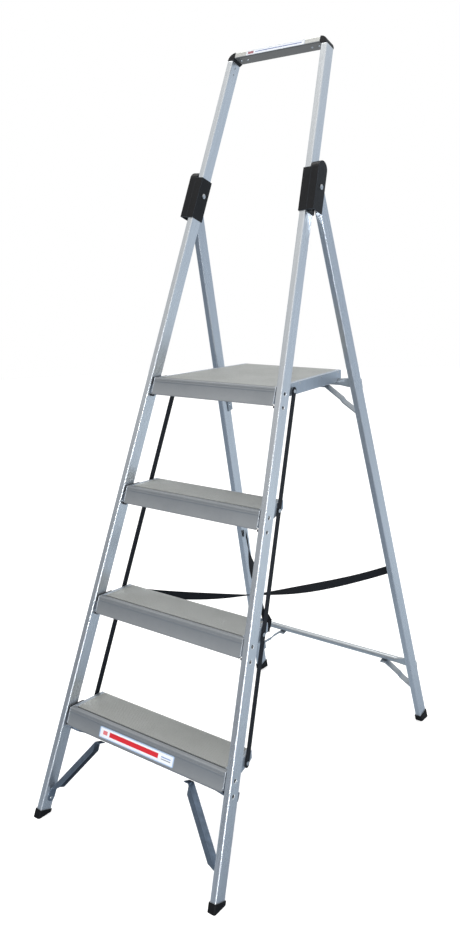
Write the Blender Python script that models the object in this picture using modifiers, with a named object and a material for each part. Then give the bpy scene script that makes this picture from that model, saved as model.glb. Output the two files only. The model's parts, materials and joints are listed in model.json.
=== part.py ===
"""Fold-flat platform step ladder: a fixed front frame with a guard rail, a rear frame hinged to it, and a
platform and three treads that swing up together on two link bars.

Metres, +Z up. The climbing side faces -Y, X runs along the treads, and the origin lies on the floor at
the middle of the ladder's footprint.
"""

from math import atan, copysign, cos, hypot, pi, radians, sin, sqrt, tan

import bmesh
import bpy
from mathutils import Matrix, Vector

# ---------------------------------------------------------------- driving dimensions
# Levels: three treads and the platform, numbered from the floor.
LEVELS = 4
PLATFORM_HEIGHT = 1.120
STEP_RISE = 0.281

# Front stiles: box tubes that lean back and draw together towards the top.
STILE_LEAN = radians(20.4)
STILE_TAPER = 0.069
FOOT_SPACING = 0.5886
STILE_WIDTH = 0.0175
STILE_DEPTH = 0.036
STILE_WALL = 0.0016
TUBE_CORNER = 0.0026

# Guard rail across the top of the stiles.
RAIL_UNDERSIDE = 2.098
RAIL_THICKNESS = 0.0165
ELBOW_REACH = 0.0055
SPIGOT_LENGTH = 0.042

# Rear legs and the hinge they turn on, measured up the stiles from the floor.
HINGE_HEIGHT = 1.7115
HINGE_BEHIND_MIDDLE = 0.0015
HINGE_DEPTH = STILE_DEPTH / 2 + HINGE_BEHIND_MIDDLE
LEG_LEAN = radians(14.9)
LEG_SPLAY = 0.066
LEG_WIDTH = 0.018
LEG_DEPTH = 0.036
LEG_WALL = 0.0016

# Hinge brackets, moulded round each stile with a pocket for the leg beside it.
BRACKET_BELOW = 0.0665
BRACKET_ABOVE = 0.0465
POCKET_ABOVE = 0.0655
BRACKET_INNER_WALL = 0.0017
BRACKET_WEB = 0.0024
BRACKET_CHEEK = 0.0020
BRACKET_FACE = 0.0025
POCKET_INNER_ROOM = 0.0013
POCKET_OUTER_ROOM = 0.0013
HINGE_BOLT_RADIUS = 0.0040
BOLT_HEAD_RADIUS = 0.0068
BOLT_HEAD_HEIGHT = 0.0028

# Rubber feet.
BOOT_WALL = 0.0025
BOOT_HEIGHT = 0.0210
BOOT_CORNER = 0.0045
SOLE_THICKNESS = 0.0030

# Platform and treads.
PIVOT_DROP = 0.0146
PIVOT_DEPTH = 0.0146
LIP_DEPTH = 0.0056
LIP_HEIGHT = 0.0434
LIP_WALL = 0.0022
LIP_RETURN = 0.0080
BOARD_TOP = 0.0032
BOARD_FLANGE = 0.0022
FLANGE_DROP = 0.0200
NOSE_RADIUS = 0.0030
TREAD_DEPTH = 0.110
PLATFORM_OVERHANG = 0.0161
TREAD_TAPER = 0.069
PLATFORM_TAPER = 0.090
END_PLATE = 0.0025
END_PLATE_REAR_DROP = 0.0140
PLATFORM_PLATE_DROP = 0.0165
PLATFORM_REAR_DROP = 0.0215
HOOK_RAMP = radians(50)

# Pins: the treads' pivot pins, the stops below them and the rivets of the link bars.
PIN_RADIUS = 0.0030
PIN_HEAD_RADIUS = 0.0042
PIN_HEAD_HEIGHT = 0.0012
ACCESS_CLEARANCE = 0.0005
ACCESS_HOLE_RADIUS = PIN_HEAD_RADIUS + ACCESS_CLEARANCE
STOP_DROP = 0.0344
STOP_TAIL = 0.0060
RIVET_RADIUS = 0.0025
RIVET_SHOULDER_RADIUS = 0.0040
RIVET_HEAD_RADIUS = 0.0048
RIVET_HEAD_HEIGHT = 0.0008
RIVET_BACK = 0.0804
RIVET_DROP = 0.0060

# Link bars.
BAR_WIDTH = 0.016
BAR_THICKNESS = 0.0020
BAR_CLEARANCE = 0.0018
BAR_END = 0.0110
BAR_TO_STILE = 0.0006

# Crossbars: round tubes whose ends are pressed flat and lie on the back of the legs or stiles.
CROSSBAR_RADIUS = 0.0095
CROSSBAR_WALL = 0.0014
CROSSBAR_FLAT = 0.0140
CROSSBAR_FLAT_THICKNESS = 0.0042
CROSSBAR_FLARE = 0.034
CROSSBAR_OVERLAP = 0.0160
CROSSBAR_FLAT_REACH = 0.0200
CROSSBAR_UNDER_TOP = 0.0315
LOWER_CROSSBAR_DROP = 1.4640

# Knee braces: bars bent to lie under a crossbar and against a leg or stile, flat ones at the rear
# and pressed channels with flat ends at the front.
BRACE_THICKNESS = 0.0028
REAR_BRACE_WIDTH = 0.020
REAR_BRACE_INSET = 0.0055
BRACE_FOOT_LENGTH = 0.030
BRACE_HEAD_LENGTH = 0.018
BRACE_JOG = 0.0035
UPPER_BRACE_RUN = 0.092
UPPER_BRACE_FALL = 0.086
LOWER_BRACE_RUN = 0.085
LOWER_BRACE_FALL = 0.083
FRONT_BRACE_WIDTH = 0.022
FRONT_BRACE_SHEET = 0.0020
FRONT_BRACE_FLANGE = 0.0120
FRONT_BRACE_LIP = 0.0004
FRONT_BRACE_INSET = 0.012
FRONT_BRACE_RUN = 0.112
FRONT_BRACE_FOOT = 0.074
FRONT_BRACE_HEAD = 0.014

# Fixed crossbar of the front frame, a thinner tube behind the stiles and under the lowest tread.
FRONT_CROSSBAR_RADIUS = 0.0070
FRONT_CROSSBAR_FLAT = 0.0105
FRONT_CROSSBAR_GAP = 0.0012

# Webbing straps from the second tread to the rear legs.
STRAP_WIDTH = 0.024
STRAP_THICKNESS = 0.0016
STRAP_SAG = {"left": 0.042, "right": 0.018}
STRAP_LEG_DROP = {"left": 1.110, "right": 1.092}
STRAP_SETBACK = 0.030
STRAP_POINTS = 24

# Clearances.
FIT = 0.0003
TURNING = 0.0004

# The end plates stand off the stiles by a link bar, its rivet's head and the room round them.
END_PLATE_GAP = BAR_CLEARANCE + BAR_THICKNESS + 2 * FIT + RIVET_HEAD_HEIGHT + BAR_TO_STILE

ROUND_SEGMENTS = 20
HOLE_SEGMENTS = 16

# ---------------------------------------------------------------- where things are
TAPER_ANGLE = atan(STILE_TAPER)
SPLAY_ANGLE = atan(LEG_SPLAY)
SIDES = {"left": -1, "right": 1}


def leaned(depth, along):
    """(y, z) of a point at this depth behind the stiles' front face and this far up along them."""
    y = along * sin(STILE_LEAN) + depth * cos(STILE_LEAN)
    z = along * cos(STILE_LEAN) - depth * sin(STILE_LEAN)
    return y, z


HINGE_Y, HINGE_Z = leaned(HINGE_DEPTH, HINGE_HEIGHT)
LEG_LENGTH = HINGE_Z / cos(LEG_LEAN)
BOOT_REACH = FIT + BOOT_WALL
FOOTPRINT_FRONT = -BOOT_REACH / cos(STILE_LEAN)
FOOTPRINT_REAR = HINGE_Y + HINGE_Z * tan(LEG_LEAN) + (LEG_DEPTH / 2 + BOOT_REACH) / cos(LEG_LEAN)
FRONT_Y = -(FOOTPRINT_FRONT + FOOTPRINT_REAR) / 2


def stile_centre(along):
    """Distance of a stile's centre line from the middle, this far up."""
    return FOOT_SPACING / 2 - STILE_TAPER * along


def stile_inner(along):
    return stile_centre(along) - STILE_WIDTH / 2 / cos(TAPER_ANGLE)


def level_top(level):
    return PLATFORM_HEIGHT - (LEVELS - level) * STEP_RISE


def pivot_along(level):
    """How far up the stiles the pivot of this level is."""
    height = level_top(level) - PIVOT_DROP
    return (height + PIVOT_DEPTH * sin(STILE_LEAN)) / cos(STILE_LEAN)


def pivot_place(level):
    y, z = leaned(PIVOT_DEPTH, pivot_along(level))
    return Vector((0, FRONT_Y + y, z))


def plate_outer(level):
    """Distance of an end plate's outer face from the middle, at its pivot."""
    return stile_inner(pivot_along(level)) - END_PLATE_GAP


def taper_of(level):
    return PLATFORM_TAPER if level == LEVELS else TREAD_TAPER


def depth_of(level):
    return platform_depth() if level == LEVELS else TREAD_DEPTH


def body_of(level):
    return "platform" if level == LEVELS else f"tread_{level}"


# The lip's front face, seen from the pivot.
LIP_U = LIP_DEPTH - PIVOT_DEPTH
BOARD_FRONT = leaned(LIP_U, 0)[0] + tan(STILE_LEAN) * (PIVOT_DROP - leaned(LIP_U, 0)[1])

# Crossbars stand this far behind the middle of a leg, with their flat ends just clear of its back.
CROSSBAR_SETBACK = LEG_DEPTH / 2 + FIT + CROSSBAR_FLAT_THICKNESS / 2

# The upper crossbar carries the platform, so it lies level with the hooks, and the platform reaches it.
UPPER_CROSSBAR_HEIGHT = PLATFORM_HEIGHT - CROSSBAR_UNDER_TOP
UPPER_CROSSBAR_DROP = (HINGE_Z + CROSSBAR_SETBACK * sin(LEG_LEAN) - UPPER_CROSSBAR_HEIGHT) / cos(LEG_LEAN)

# A leg's centre line beside its stile, at the hinge.
LEG_OFFSET = STILE_WIDTH / 2 + FIT + BRACKET_WEB + POCKET_INNER_ROOM + LEG_WIDTH / 2
LEG_TOP_X = stile_centre(HINGE_HEIGHT) + LEG_OFFSET


def leg_centre(drop):
    return LEG_TOP_X + LEG_SPLAY * drop


def rear_place(x, depth, drop):
    """World place of a point of the rear frame, this far down along the legs from the hinge."""
    y = FRONT_Y + HINGE_Y + drop * sin(LEG_LEAN) + depth * cos(LEG_LEAN)
    z = HINGE_Z - drop * cos(LEG_LEAN) + depth * sin(LEG_LEAN)
    return Vector((x, y, z))


def platform_depth():
    """From the platform's front edge to a set distance behind the upper crossbar."""
    bar = rear_place(0, CROSSBAR_SETBACK, UPPER_CROSSBAR_DROP) - pivot_place(LEVELS)
    return bar.y - BOARD_FRONT + PLATFORM_OVERHANG


# ---------------------------------------------------------------- scene
for old in list(bpy.data.objects):
    bpy.data.objects.remove(old, do_unlink=True)

PARTS = bpy.data.collections.new("platform_step_ladder")
CUTTERS = bpy.data.collections.new("cutters")
bpy.context.scene.collection.children.link(PARTS)
bpy.context.scene.collection.children.link(CUTTERS)


def finish(name, colour, roughness, metallic):
    material = bpy.data.materials.new(name)
    material.use_nodes = True
    shader = material.node_tree.nodes["Principled BSDF"]
    shader.inputs["Base Color"].default_value = (*colour, 1)
    shader.inputs["Roughness"].default_value = roughness
    shader.inputs["Metallic"].default_value = metallic
    return material


ALUMINIUM = finish("anodised_aluminium", (0.62, 0.64, 0.66), 0.38, 1.0)
DECK = finish("ribbed_deck_aluminium", (0.45, 0.45, 0.44), 0.50, 1.0)
PLATE = finish("end_plate_aluminium", (0.50, 0.52, 0.54), 0.42, 1.0)
STEEL = finish("zinc_plated_steel", (0.55, 0.56, 0.57), 0.35, 1.0)
DARK_STEEL = finish("weathered_galvanised_steel", (0.20, 0.22, 0.25), 0.45, 1.0)
PLASTIC = finish("black_moulded_plastic", (0.020, 0.022, 0.024), 0.48, 0.0)
RUBBER = finish("black_rubber", (0.012, 0.012, 0.012), 0.75, 0.0)
BLACK_BAR = finish("black_coated_bar", (0.018, 0.020, 0.023), 0.42, 0.0)
WEBBING = finish("black_webbing", (0.015, 0.016, 0.018), 0.85, 0.0)


def axis(name, place, tilt=0.0):
    """An empty on a joint's axis, or at a frame's foot, turned about X by tilt."""
    empty = bpy.data.objects.new(name, None)
    empty.location = place
    empty.rotation_euler = (tilt, 0, 0)
    PARTS.objects.link(empty)
    return empty


def add(name, mesh, parent, material, place=(0, 0, 0), turn=(0, 0, 0)):
    obj = bpy.data.objects.new(name, mesh)
    obj.parent = parent
    obj.location = place
    obj.rotation_euler = turn
    obj.data.materials.append(material)
    PARTS.objects.link(obj)
    return obj


def add_tool(name, mesh, parent, place=(0, 0, 0), turn=(0, 0, 0)):
    """A cutter, or a shape that a union adds to a part."""
    tool = bpy.data.objects.new(name, mesh)
    tool.parent = parent
    tool.location = place
    tool.rotation_euler = turn
    tool.hide_render = True
    tool.display_type = "WIRE"
    CUTTERS.objects.link(tool)
    return tool


def combine(obj, tool, operation="DIFFERENCE"):
    modifier = obj.modifiers.new(f"{operation.lower()}_{tool.name}", "BOOLEAN")
    modifier.operation = operation
    modifier.object = tool


# ---------------------------------------------------------------- shapes
# Where an outline's (a, b) and its thickness go: along Z, along X or along Y.
ALONG_Z = Matrix.Identity(4)
ALONG_X = Matrix(((0, 0, 1, 0), (1, 0, 0, 0), (0, 1, 0, 0), (0, 0, 0, 1)))
ALONG_Y = Matrix(((1, 0, 0, 0), (0, 0, -1, 0), (0, 1, 0, 0), (0, 0, 0, 1)))


def prism(name, outlines, length, direction):
    """A flat outline, with any further outlines as holes, extruded evenly to both sides of its plane."""
    curve = bpy.data.curves.new(name, "CURVE")
    curve.dimensions = "2D"
    curve.fill_mode = "BOTH"
    curve.extrude = length / 2
    for outline in outlines:
        spline = curve.splines.new("POLY")
        spline.points.add(len(outline) - 1)
        for point, (a, b) in zip(spline.points, outline):
            point.co = (a, b, 0, 1)
        spline.use_cyclic_u = True
    flat = bpy.data.objects.new(name, curve)
    bpy.context.scene.collection.objects.link(flat)
    graph = bpy.context.evaluated_depsgraph_get()
    mesh = bpy.data.meshes.new_from_object(flat.evaluated_get(graph))
    bpy.data.objects.remove(flat)
    bpy.data.curves.remove(curve)
    work = bmesh.new()
    work.from_mesh(mesh)
    bmesh.ops.remove_doubles(work, verts=work.verts, dist=1e-6)
    bmesh.ops.transform(work, matrix=direction, verts=work.verts)
    bmesh.ops.recalc_face_normals(work, faces=work.faces)
    work.to_mesh(mesh)
    work.free()
    mesh.name = name
    mesh.materials.clear()
    return mesh


def box(name, low, high):
    """A box between two opposite corners."""
    low, high = Vector(low), Vector(high)
    work = bmesh.new()
    bmesh.ops.create_cube(work, size=1)
    bmesh.ops.scale(work, vec=high - low, verts=work.verts)
    bmesh.ops.translate(work, vec=(low + high) / 2, verts=work.verts)
    mesh = bpy.data.meshes.new(name)
    work.to_mesh(mesh)
    work.free()
    return mesh


def arc(centre, radius, start, end, steps):
    """Points on an arc, from one angle to another, both ends included."""
    turns = (start + (end - start) * i / steps for i in range(steps + 1))
    return [(centre[0] + radius * cos(turn), centre[1] + radius * sin(turn)) for turn in turns]


def rounded_rectangle(width, height, radius, steps=4):
    """Outline about the origin, with round corners."""
    a, b = width / 2 - radius, height / 2 - radius
    corners = ((a, b, 0), (-a, b, pi / 2), (-a, -b, pi), (a, -b, 3 * pi / 2))
    outline = []
    for x, y, start in corners:
        outline += arc((x, y), radius, start, start + pi / 2, steps)
    return outline


def shifted(outline, a, b):
    return [(x + a, y + b) for x, y in outline]


def cylinder(name, radius, low, high, segments=HOLE_SEGMENTS, place=(0, 0)):
    """A cylinder along X, from x = low to x = high, at place in (y, z)."""
    work = bmesh.new()
    bmesh.ops.create_cone(
        work, cap_ends=True, segments=segments, radius1=radius, radius2=radius, depth=high - low
    )
    bmesh.ops.transform(work, matrix=ALONG_X, verts=work.verts)
    bmesh.ops.translate(work, vec=((low + high) / 2, *place), verts=work.verts)
    mesh = bpy.data.meshes.new(name)
    work.to_mesh(mesh)
    work.free()
    return mesh


def joined(name, meshes):
    """Several shapes as one mesh, for a cutter."""
    work = bmesh.new()
    for mesh in meshes:
        work.from_mesh(mesh)
        bpy.data.meshes.remove(mesh)
    mesh = bpy.data.meshes.new(name)
    work.to_mesh(mesh)
    work.free()
    return mesh


def turned(name, profile, parent, material, place, segments=ROUND_SEGMENTS):
    """A turned piece with its axis along X. The profile lists (x, radius) from its +X end to its -X end."""
    points = [(radius, 0, x) for x, radius in profile]
    edges = [(i, i + 1) for i in range(len(points) - 1)]
    mesh = bpy.data.meshes.new(name)
    mesh.from_pydata(points, edges, [])
    obj = add(name, mesh, parent, material, place, (0, pi / 2, 0))
    screw = obj.modifiers.new("turn", "SCREW")
    screw.axis = "Z"
    screw.angle = 2 * pi
    screw.steps = segments
    screw.render_steps = segments
    screw.use_merge_vertices = True
    screw.merge_threshold = 1e-5
    return obj


def smooth(obj):
    obj.data.shade_smooth()
    obj.data.set_sharp_from_angle(angle=radians(35))


# ---------------------------------------------------------------- frames of reference
FRONT = axis("front_frame_foot", (0, FRONT_Y, 0), -STILE_LEAN)
REAR = axis("rear_frame_hinge_axis", (0, FRONT_Y + HINGE_Y, HINGE_Z), LEG_LEAN)
PIVOTS = {level: axis(f"{body_of(level)}_pivot_axis", pivot_place(level)) for level in range(1, LEVELS + 1)}


def stile_axis(side):
    """An empty on a stile's centre line at floor height: its Z runs up the stile."""
    empty = axis(f"front_stile_{side}_centre", (SIDES[side] * FOOT_SPACING / 2, 0, 0))
    empty.parent = FRONT
    empty.rotation_euler = (0, -SIDES[side] * TAPER_ANGLE, 0)
    return empty


def leg_axis(side):
    """An empty on a leg's centre line at the hinge: its Z runs up the leg."""
    empty = axis(f"rear_leg_{side}_centre", (SIDES[side] * LEG_TOP_X, 0, 0))
    empty.parent = REAR
    empty.rotation_euler = (0, -SIDES[side] * SPLAY_ANGLE, 0)
    return empty


STILES = {side: stile_axis(side) for side in SIDES}
LEGS = {side: leg_axis(side) for side in SIDES}


def up_stile(along):
    """A height in the front frame as a distance along a stile's own, tapered centre line."""
    return along / cos(TAPER_ANGLE)


# ---------------------------------------------------------------- front frame
STILE_BOTTOM = (SOLE_THICKNESS + STILE_DEPTH * sin(STILE_LEAN)) / cos(STILE_LEAN)
STILE_TOP = RAIL_UNDERSIDE - ELBOW_REACH


def tube(name, width, depth, wall, bottom, top, centre_depth):
    """A box tube along Z."""
    outer = shifted(rounded_rectangle(width, depth, TUBE_CORNER), 0, centre_depth)
    inner_size = (width - 2 * wall, depth - 2 * wall)
    inner = shifted(rounded_rectangle(*inner_size, TUBE_CORNER / 3, 1), 0, centre_depth)
    mesh = prism(name, (outer, inner), top - bottom, ALONG_Z)
    mesh.transform(Matrix.Translation((0, 0, (top + bottom) / 2)))
    return mesh


def stile_holes(side):
    """Cutter for a stile: shank holes in the inner wall and wider access holes in the outer one."""
    sign = SIDES[side]
    cuts = []
    for level in range(1, LEVELS + 1):
        for along in (pivot_along(level), pivot_along(level) - STOP_DROP):
            centre = sign * stile_centre(along)
            inner = sorted((centre, centre - sign * STILE_WIDTH))
            outer = sorted((centre, centre + sign * STILE_WIDTH))
            place = (PIVOT_DEPTH, along)
            cuts.append(cylinder("shank_hole", PIN_RADIUS + FIT, *inner, place=place))
            cuts.append(cylinder("access_hole", ACCESS_HOLE_RADIUS, *outer, place=place))
    return joined(f"stile_{side}_pin_holes", cuts)


def hinge_hole(side):
    """Cutter for the hinge bolt's hole, through stile, bracket and leg."""
    centre = stile_centre(HINGE_HEIGHT)
    inner, outer = centre - 2 * STILE_WIDTH, centre + LEG_OFFSET + 2 * LEG_WIDTH
    low, high = sorted((SIDES[side] * inner, SIDES[side] * outer))
    place = (HINGE_DEPTH, HINGE_HEIGHT)
    return cylinder(f"hinge_hole_{side}", HINGE_BOLT_RADIUS + FIT, low, high, ROUND_SEGMENTS, place)


def front_stile(side):
    mesh = tube(
        f"front_stile_{side}", STILE_WIDTH, STILE_DEPTH, STILE_WALL,
        up_stile(STILE_BOTTOM), up_stile(STILE_TOP), STILE_DEPTH / 2,
    )
    obj = add(f"front_stile_{side}", mesh, STILES[side], ALUMINIUM)
    combine(obj, add_tool(f"cut_stile_{side}_pins", stile_holes(side), FRONT))
    combine(obj, HINGE_HOLES[side])
    smooth(obj)


def top_rail():
    """The guard rail: the stiles' own box section laid flat between the elbows."""
    half = stile_inner(RAIL_UNDERSIDE) - ELBOW_REACH
    outer = rounded_rectangle(STILE_DEPTH, RAIL_THICKNESS, TUBE_CORNER)
    inner_size = (STILE_DEPTH - 2 * STILE_WALL, RAIL_THICKNESS - 2 * STILE_WALL)
    inner = rounded_rectangle(*inner_size, TUBE_CORNER / 3, 1)
    mesh = prism("top_rail", (outer, inner), 2 * half, ALONG_X)
    place = (0, STILE_DEPTH / 2, RAIL_UNDERSIDE + RAIL_THICKNESS / 2)
    smooth(add("top_rail", mesh, FRONT, ALUMINIUM, place))


def elbow(side):
    """Corner moulding: a quarter bend with chamfered inner corner, and a spigot into each tube."""
    sign = SIDES[side]
    low = STILE_TOP + FIT + STILE_WIDTH / 2 * STILE_TAPER
    high = RAIL_UNDERSIDE + RAIL_THICKNESS
    inner, outer = stile_inner(low), 2 * stile_centre(low) - stile_inner(low)
    rail_end = stile_inner(RAIL_UNDERSIDE) - ELBOW_REACH + FIT
    radii = (outer - rail_end, high - low)
    bend = [(rail_end + radii[0] * a, low + radii[1] * b) for a, b in arc((0, 0), 1, 0, pi / 2, 8)]
    outline = [(inner, low)] + bend + [(rail_end, RAIL_UNDERSIDE)]
    mesh = prism(f"elbow_{side}", [[(sign * x, z) for x, z in outline]], STILE_DEPTH, ALONG_Y)
    obj = add(f"elbow_{side}", mesh, FRONT, PLASTIC, (0, STILE_DEPTH / 2, 0))
    reach = STILE_WALL + 2 * FIT
    spigot_depth = STILE_DEPTH - 2 * reach
    into_rail = box(
        f"rail_spigot_{side}",
        (rail_end - SPIGOT_LENGTH, -spigot_depth / 2, RAIL_UNDERSIDE + reach),
        (rail_end + ELBOW_REACH, spigot_depth / 2, high - reach),
    )
    into_rail.transform(Matrix.Diagonal((sign, 1, 1, 1)))
    fix_normals(into_rail)
    half = STILE_WIDTH / 2 - reach
    into_stile = box(
        f"stile_spigot_{side}",
        (-half, -spigot_depth / 2, up_stile(low) - SPIGOT_LENGTH),
        (half, spigot_depth / 2, up_stile(low) + ELBOW_REACH),
    )
    middle = (0, STILE_DEPTH / 2, 0)
    combine(obj, add_tool(f"add_rail_spigot_{side}", into_rail, FRONT, middle), "UNION")
    combine(obj, add_tool(f"add_stile_spigot_{side}", into_stile, STILES[side], middle), "UNION")
    smooth(obj)


def fix_normals(mesh):
    """Turns the faces of a mirrored mesh outwards again."""
    work = bmesh.new()
    work.from_mesh(mesh)
    bmesh.ops.recalc_face_normals(work, faces=work.faces)
    work.to_mesh(mesh)
    work.free()


def hinge_bracket(side):
    """A sleeve round the stile and, outside it, a pocket open to the rear and below for the leg."""
    sign = SIDES[side]
    hinge = up_stile(HINGE_HEIGHT)
    front, rear = -BOOT_REACH, STILE_DEPTH + BOOT_REACH
    bottom, sleeve_top, pocket_top = hinge - BRACKET_BELOW, hinge + BRACKET_ABOVE, hinge + POCKET_ABOVE
    inner = STILE_WIDTH / 2 + FIT + BRACKET_INNER_WALL
    web = STILE_WIDTH / 2 + FIT + BRACKET_WEB
    pocket = web + POCKET_INNER_ROOM + LEG_WIDTH + POCKET_OUTER_ROOM
    sleeve = box(
        f"hinge_bracket_{side}",
        (min(-sign * inner, sign * (web + POCKET_INNER_ROOM)), front, bottom),
        (max(-sign * inner, sign * (web + POCKET_INNER_ROOM)), rear, sleeve_top),
    )
    obj = add(f"hinge_bracket_{side}", sleeve, STILES[side], PLASTIC)
    block_front, block_rear = front + FIT, rear - FIT
    round_radius = (block_rear - block_front) / 2
    crown = arc(((front + rear) / 2, pocket_top - round_radius), round_radius, 0, pi, 12)
    outline = [(block_front, bottom), (block_rear, bottom)] + crown
    block_low, block_high = sorted((sign * (web - BRACKET_WEB / 2), sign * (pocket + BRACKET_CHEEK)))
    block = prism(f"pocket_block_{side}", [outline], block_high - block_low, ALONG_X)
    place = ((block_low + block_high) / 2, 0, 0)
    combine(obj, add_tool(f"add_pocket_block_{side}", block, STILES[side], place), "UNION")
    channel = box(
        f"stile_channel_{side}",
        (-STILE_WIDTH / 2 - FIT, -FIT, bottom - 0.01),
        (STILE_WIDTH / 2 + FIT, STILE_DEPTH + FIT, pocket_top + 0.01),
    )
    combine(obj, add_tool(f"cut_stile_channel_{side}", channel, STILES[side]))
    face = HINGE_DEPTH - LEG_DEPTH / 2 - 2 * FIT
    hollow_radius = round_radius - BRACKET_FACE
    hollow_top = pocket_top - BRACKET_FACE
    quarter = arc((face + hollow_radius, hollow_top - hollow_radius), hollow_radius, pi, pi / 2, 6)
    open_rear, open_bottom = rear + 0.02, bottom - 0.02
    hollow = [(face, open_bottom)] + quarter + [(open_rear, hollow_top), (open_rear, open_bottom)]
    room_low, room_high = sorted((sign * web, sign * pocket))
    cavity = prism(f"leg_pocket_{side}", [hollow], room_high - room_low, ALONG_X)
    place = ((room_low + room_high) / 2, 0, 0)
    combine(obj, add_tool(f"cut_leg_pocket_{side}", cavity, STILES[side], place))
    combine(obj, HINGE_HOLES[side])
    smooth(obj)


def hinge_bolt(side):
    """The bolt that a leg turns on, with a domed head at each end."""
    sign = SIDES[side]
    centre = stile_centre(HINGE_HEIGHT)
    inner = centre - STILE_WIDTH / 2 - FIT - BRACKET_INNER_WALL - 2 * FIT
    outer = centre + LEG_OFFSET + LEG_WIDTH / 2 + POCKET_OUTER_ROOM + BRACKET_CHEEK + 3 * FIT
    head, rim = BOLT_HEAD_HEIGHT, BOLT_HEAD_RADIUS
    profile = [(outer + head, 0), (outer + head, rim * 0.6), (outer + head * 0.4, rim), (outer, rim)]
    profile += [(outer, HINGE_BOLT_RADIUS), (inner, HINGE_BOLT_RADIUS)]
    profile += [(inner, rim), (inner - head * 0.4, rim), (inner - head, rim * 0.6), (inner - head, 0)]
    if sign < 0:
        profile = [(-x, radius) for x, radius in reversed(profile)]
    place = (0, HINGE_DEPTH, HINGE_HEIGHT)
    smooth(turned(f"hinge_bolt_{side}", profile, FRONT, STEEL, place))


def boot(name, parent, width, depth, tube_bottom, top, centre_depth, sole_cut):
    """A rubber foot round the end of a tube, cut level with the floor."""
    outline = rounded_rectangle(width + 2 * BOOT_REACH, depth + 2 * BOOT_REACH, BOOT_CORNER)
    bottom = tube_bottom - 0.06
    mesh = prism(name, [shifted(outline, 0, centre_depth)], top - bottom, ALONG_Z)
    mesh.transform(Matrix.Translation((0, 0, (top + bottom) / 2)))
    obj = add(name, mesh, parent, RUBBER)
    socket = box(
        f"{name}_socket",
        (-width / 2 - FIT, centre_depth - depth / 2 - FIT, tube_bottom - FIT),
        (width / 2 + FIT, centre_depth + depth / 2 + FIT, top + 0.01),
    )
    combine(obj, add_tool(f"cut_{name}_socket", socket, parent))
    combine(obj, sole_cut)
    smooth(obj)


def pivot_pin(side, level):
    """A tread's pivot: headed inside the stile, with its tail formed over the end plate."""
    along = pivot_along(level)
    cavity = stile_inner(along) + STILE_WALL / cos(TAPER_ANGLE)
    tail = plate_outer(level) - END_PLATE - 2 * FIT
    head = cavity + 2 * FIT
    profile = [
        (head + PIN_HEAD_HEIGHT, 0), (head + PIN_HEAD_HEIGHT, PIN_HEAD_RADIUS),
        (head, PIN_HEAD_RADIUS), (head, PIN_RADIUS),
        (tail, PIN_RADIUS), (tail, PIN_HEAD_RADIUS),
        (tail - PIN_HEAD_HEIGHT, PIN_HEAD_RADIUS), (tail - PIN_HEAD_HEIGHT, 0),
    ]
    if SIDES[side] < 0:
        profile = [(-x, radius) for x, radius in reversed(profile)]
    place = (0, PIVOT_DEPTH, along)
    name = f"{body_of(level)}_pivot_pin_{side}"
    smooth(turned(name, profile, FRONT, STEEL, place, HOLE_SEGMENTS))


# ---------------------------------------------------------------- rear frame
LEG_END = LEG_LENGTH - SOLE_THICKNESS / cos(LEG_LEAN) - LEG_DEPTH / 2 * tan(LEG_LEAN)
LEG_BOOT_TOP = LEG_LENGTH - BOOT_HEIGHT


def down_leg(drop):
    """A drop in the rear frame as a distance along a leg's own, splayed centre line."""
    return drop / cos(SPLAY_ANGLE)


def rear_leg(side):
    """A box tube whose top is rounded about the hinge bolt."""
    name = f"rear_leg_{side}"
    mesh = tube(name, LEG_WIDTH, LEG_DEPTH, LEG_WALL, -down_leg(LEG_END), LEG_DEPTH / 2, 0)
    obj = add(name, mesh, LEGS[side], ALUMINIUM)
    reach = LEG_DEPTH
    rim = arc((0, 0), LEG_DEPTH / 2, 0, pi, 12)
    outline = [(reach, 0)] + rim + [(-reach, 0), (-reach, reach), (reach, reach)]
    cut = prism(f"{name}_crown", [outline], 2 * LEG_WIDTH, ALONG_X)
    combine(obj, add_tool(f"cut_{name}_crown", cut, LEGS[side]))
    combine(obj, HINGE_HOLES[side])
    smooth(obj)


def smoothstep(value):
    value = min(max(value, 0.0), 1.0)
    return value * value * (3 - 2 * value)


FRONT_CROSSBAR_DEPTH = STILE_DEPTH + FIT + CROSSBAR_FLAT_THICKNESS / 2

# The lowest tread's stop tails swing back about its pivot: the front crossbar's flat ends clear them.
STOP_TAIL_FALL = STOP_DROP + FIT
TAIL_SWING = hypot(PIN_RADIUS + FIT, STOP_TAIL_FALL)
FLAT_BEHIND_PIVOT = FRONT_CROSSBAR_DEPTH - CROSSBAR_FLAT_THICKNESS / 2 - PIVOT_DEPTH
FLAT_BELOW_PIVOT = sqrt((TAIL_SWING + FRONT_CROSSBAR_GAP) ** 2 - FLAT_BEHIND_PIVOT**2)
FRONT_CROSSBAR_HEIGHT = pivot_along(1) - FLAT_BELOW_PIVOT - FRONT_CROSSBAR_FLAT


def flattened_ring(work, x, radius, flat_height, share, inset):
    """A ring of a crossbar: share is 0 in the flat ends and 1 in the round tube between them."""
    tall = flat_height + (radius - flat_height) * share - inset
    flat = CROSSBAR_FLAT_THICKNESS / 2
    deep = flat + (radius - flat) * share - inset
    squareness = 0.35 + 0.65 * share
    ring = []
    for i in range(ROUND_SEGMENTS):
        turn = 2 * pi * (i + 0.5) / ROUND_SEGMENTS
        y = copysign(abs(cos(turn)) ** squareness, cos(turn))
        z = copysign(abs(sin(turn)) ** squareness, sin(turn))
        ring.append(work.verts.new((x, deep * y, tall * z)))
    return ring


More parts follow.
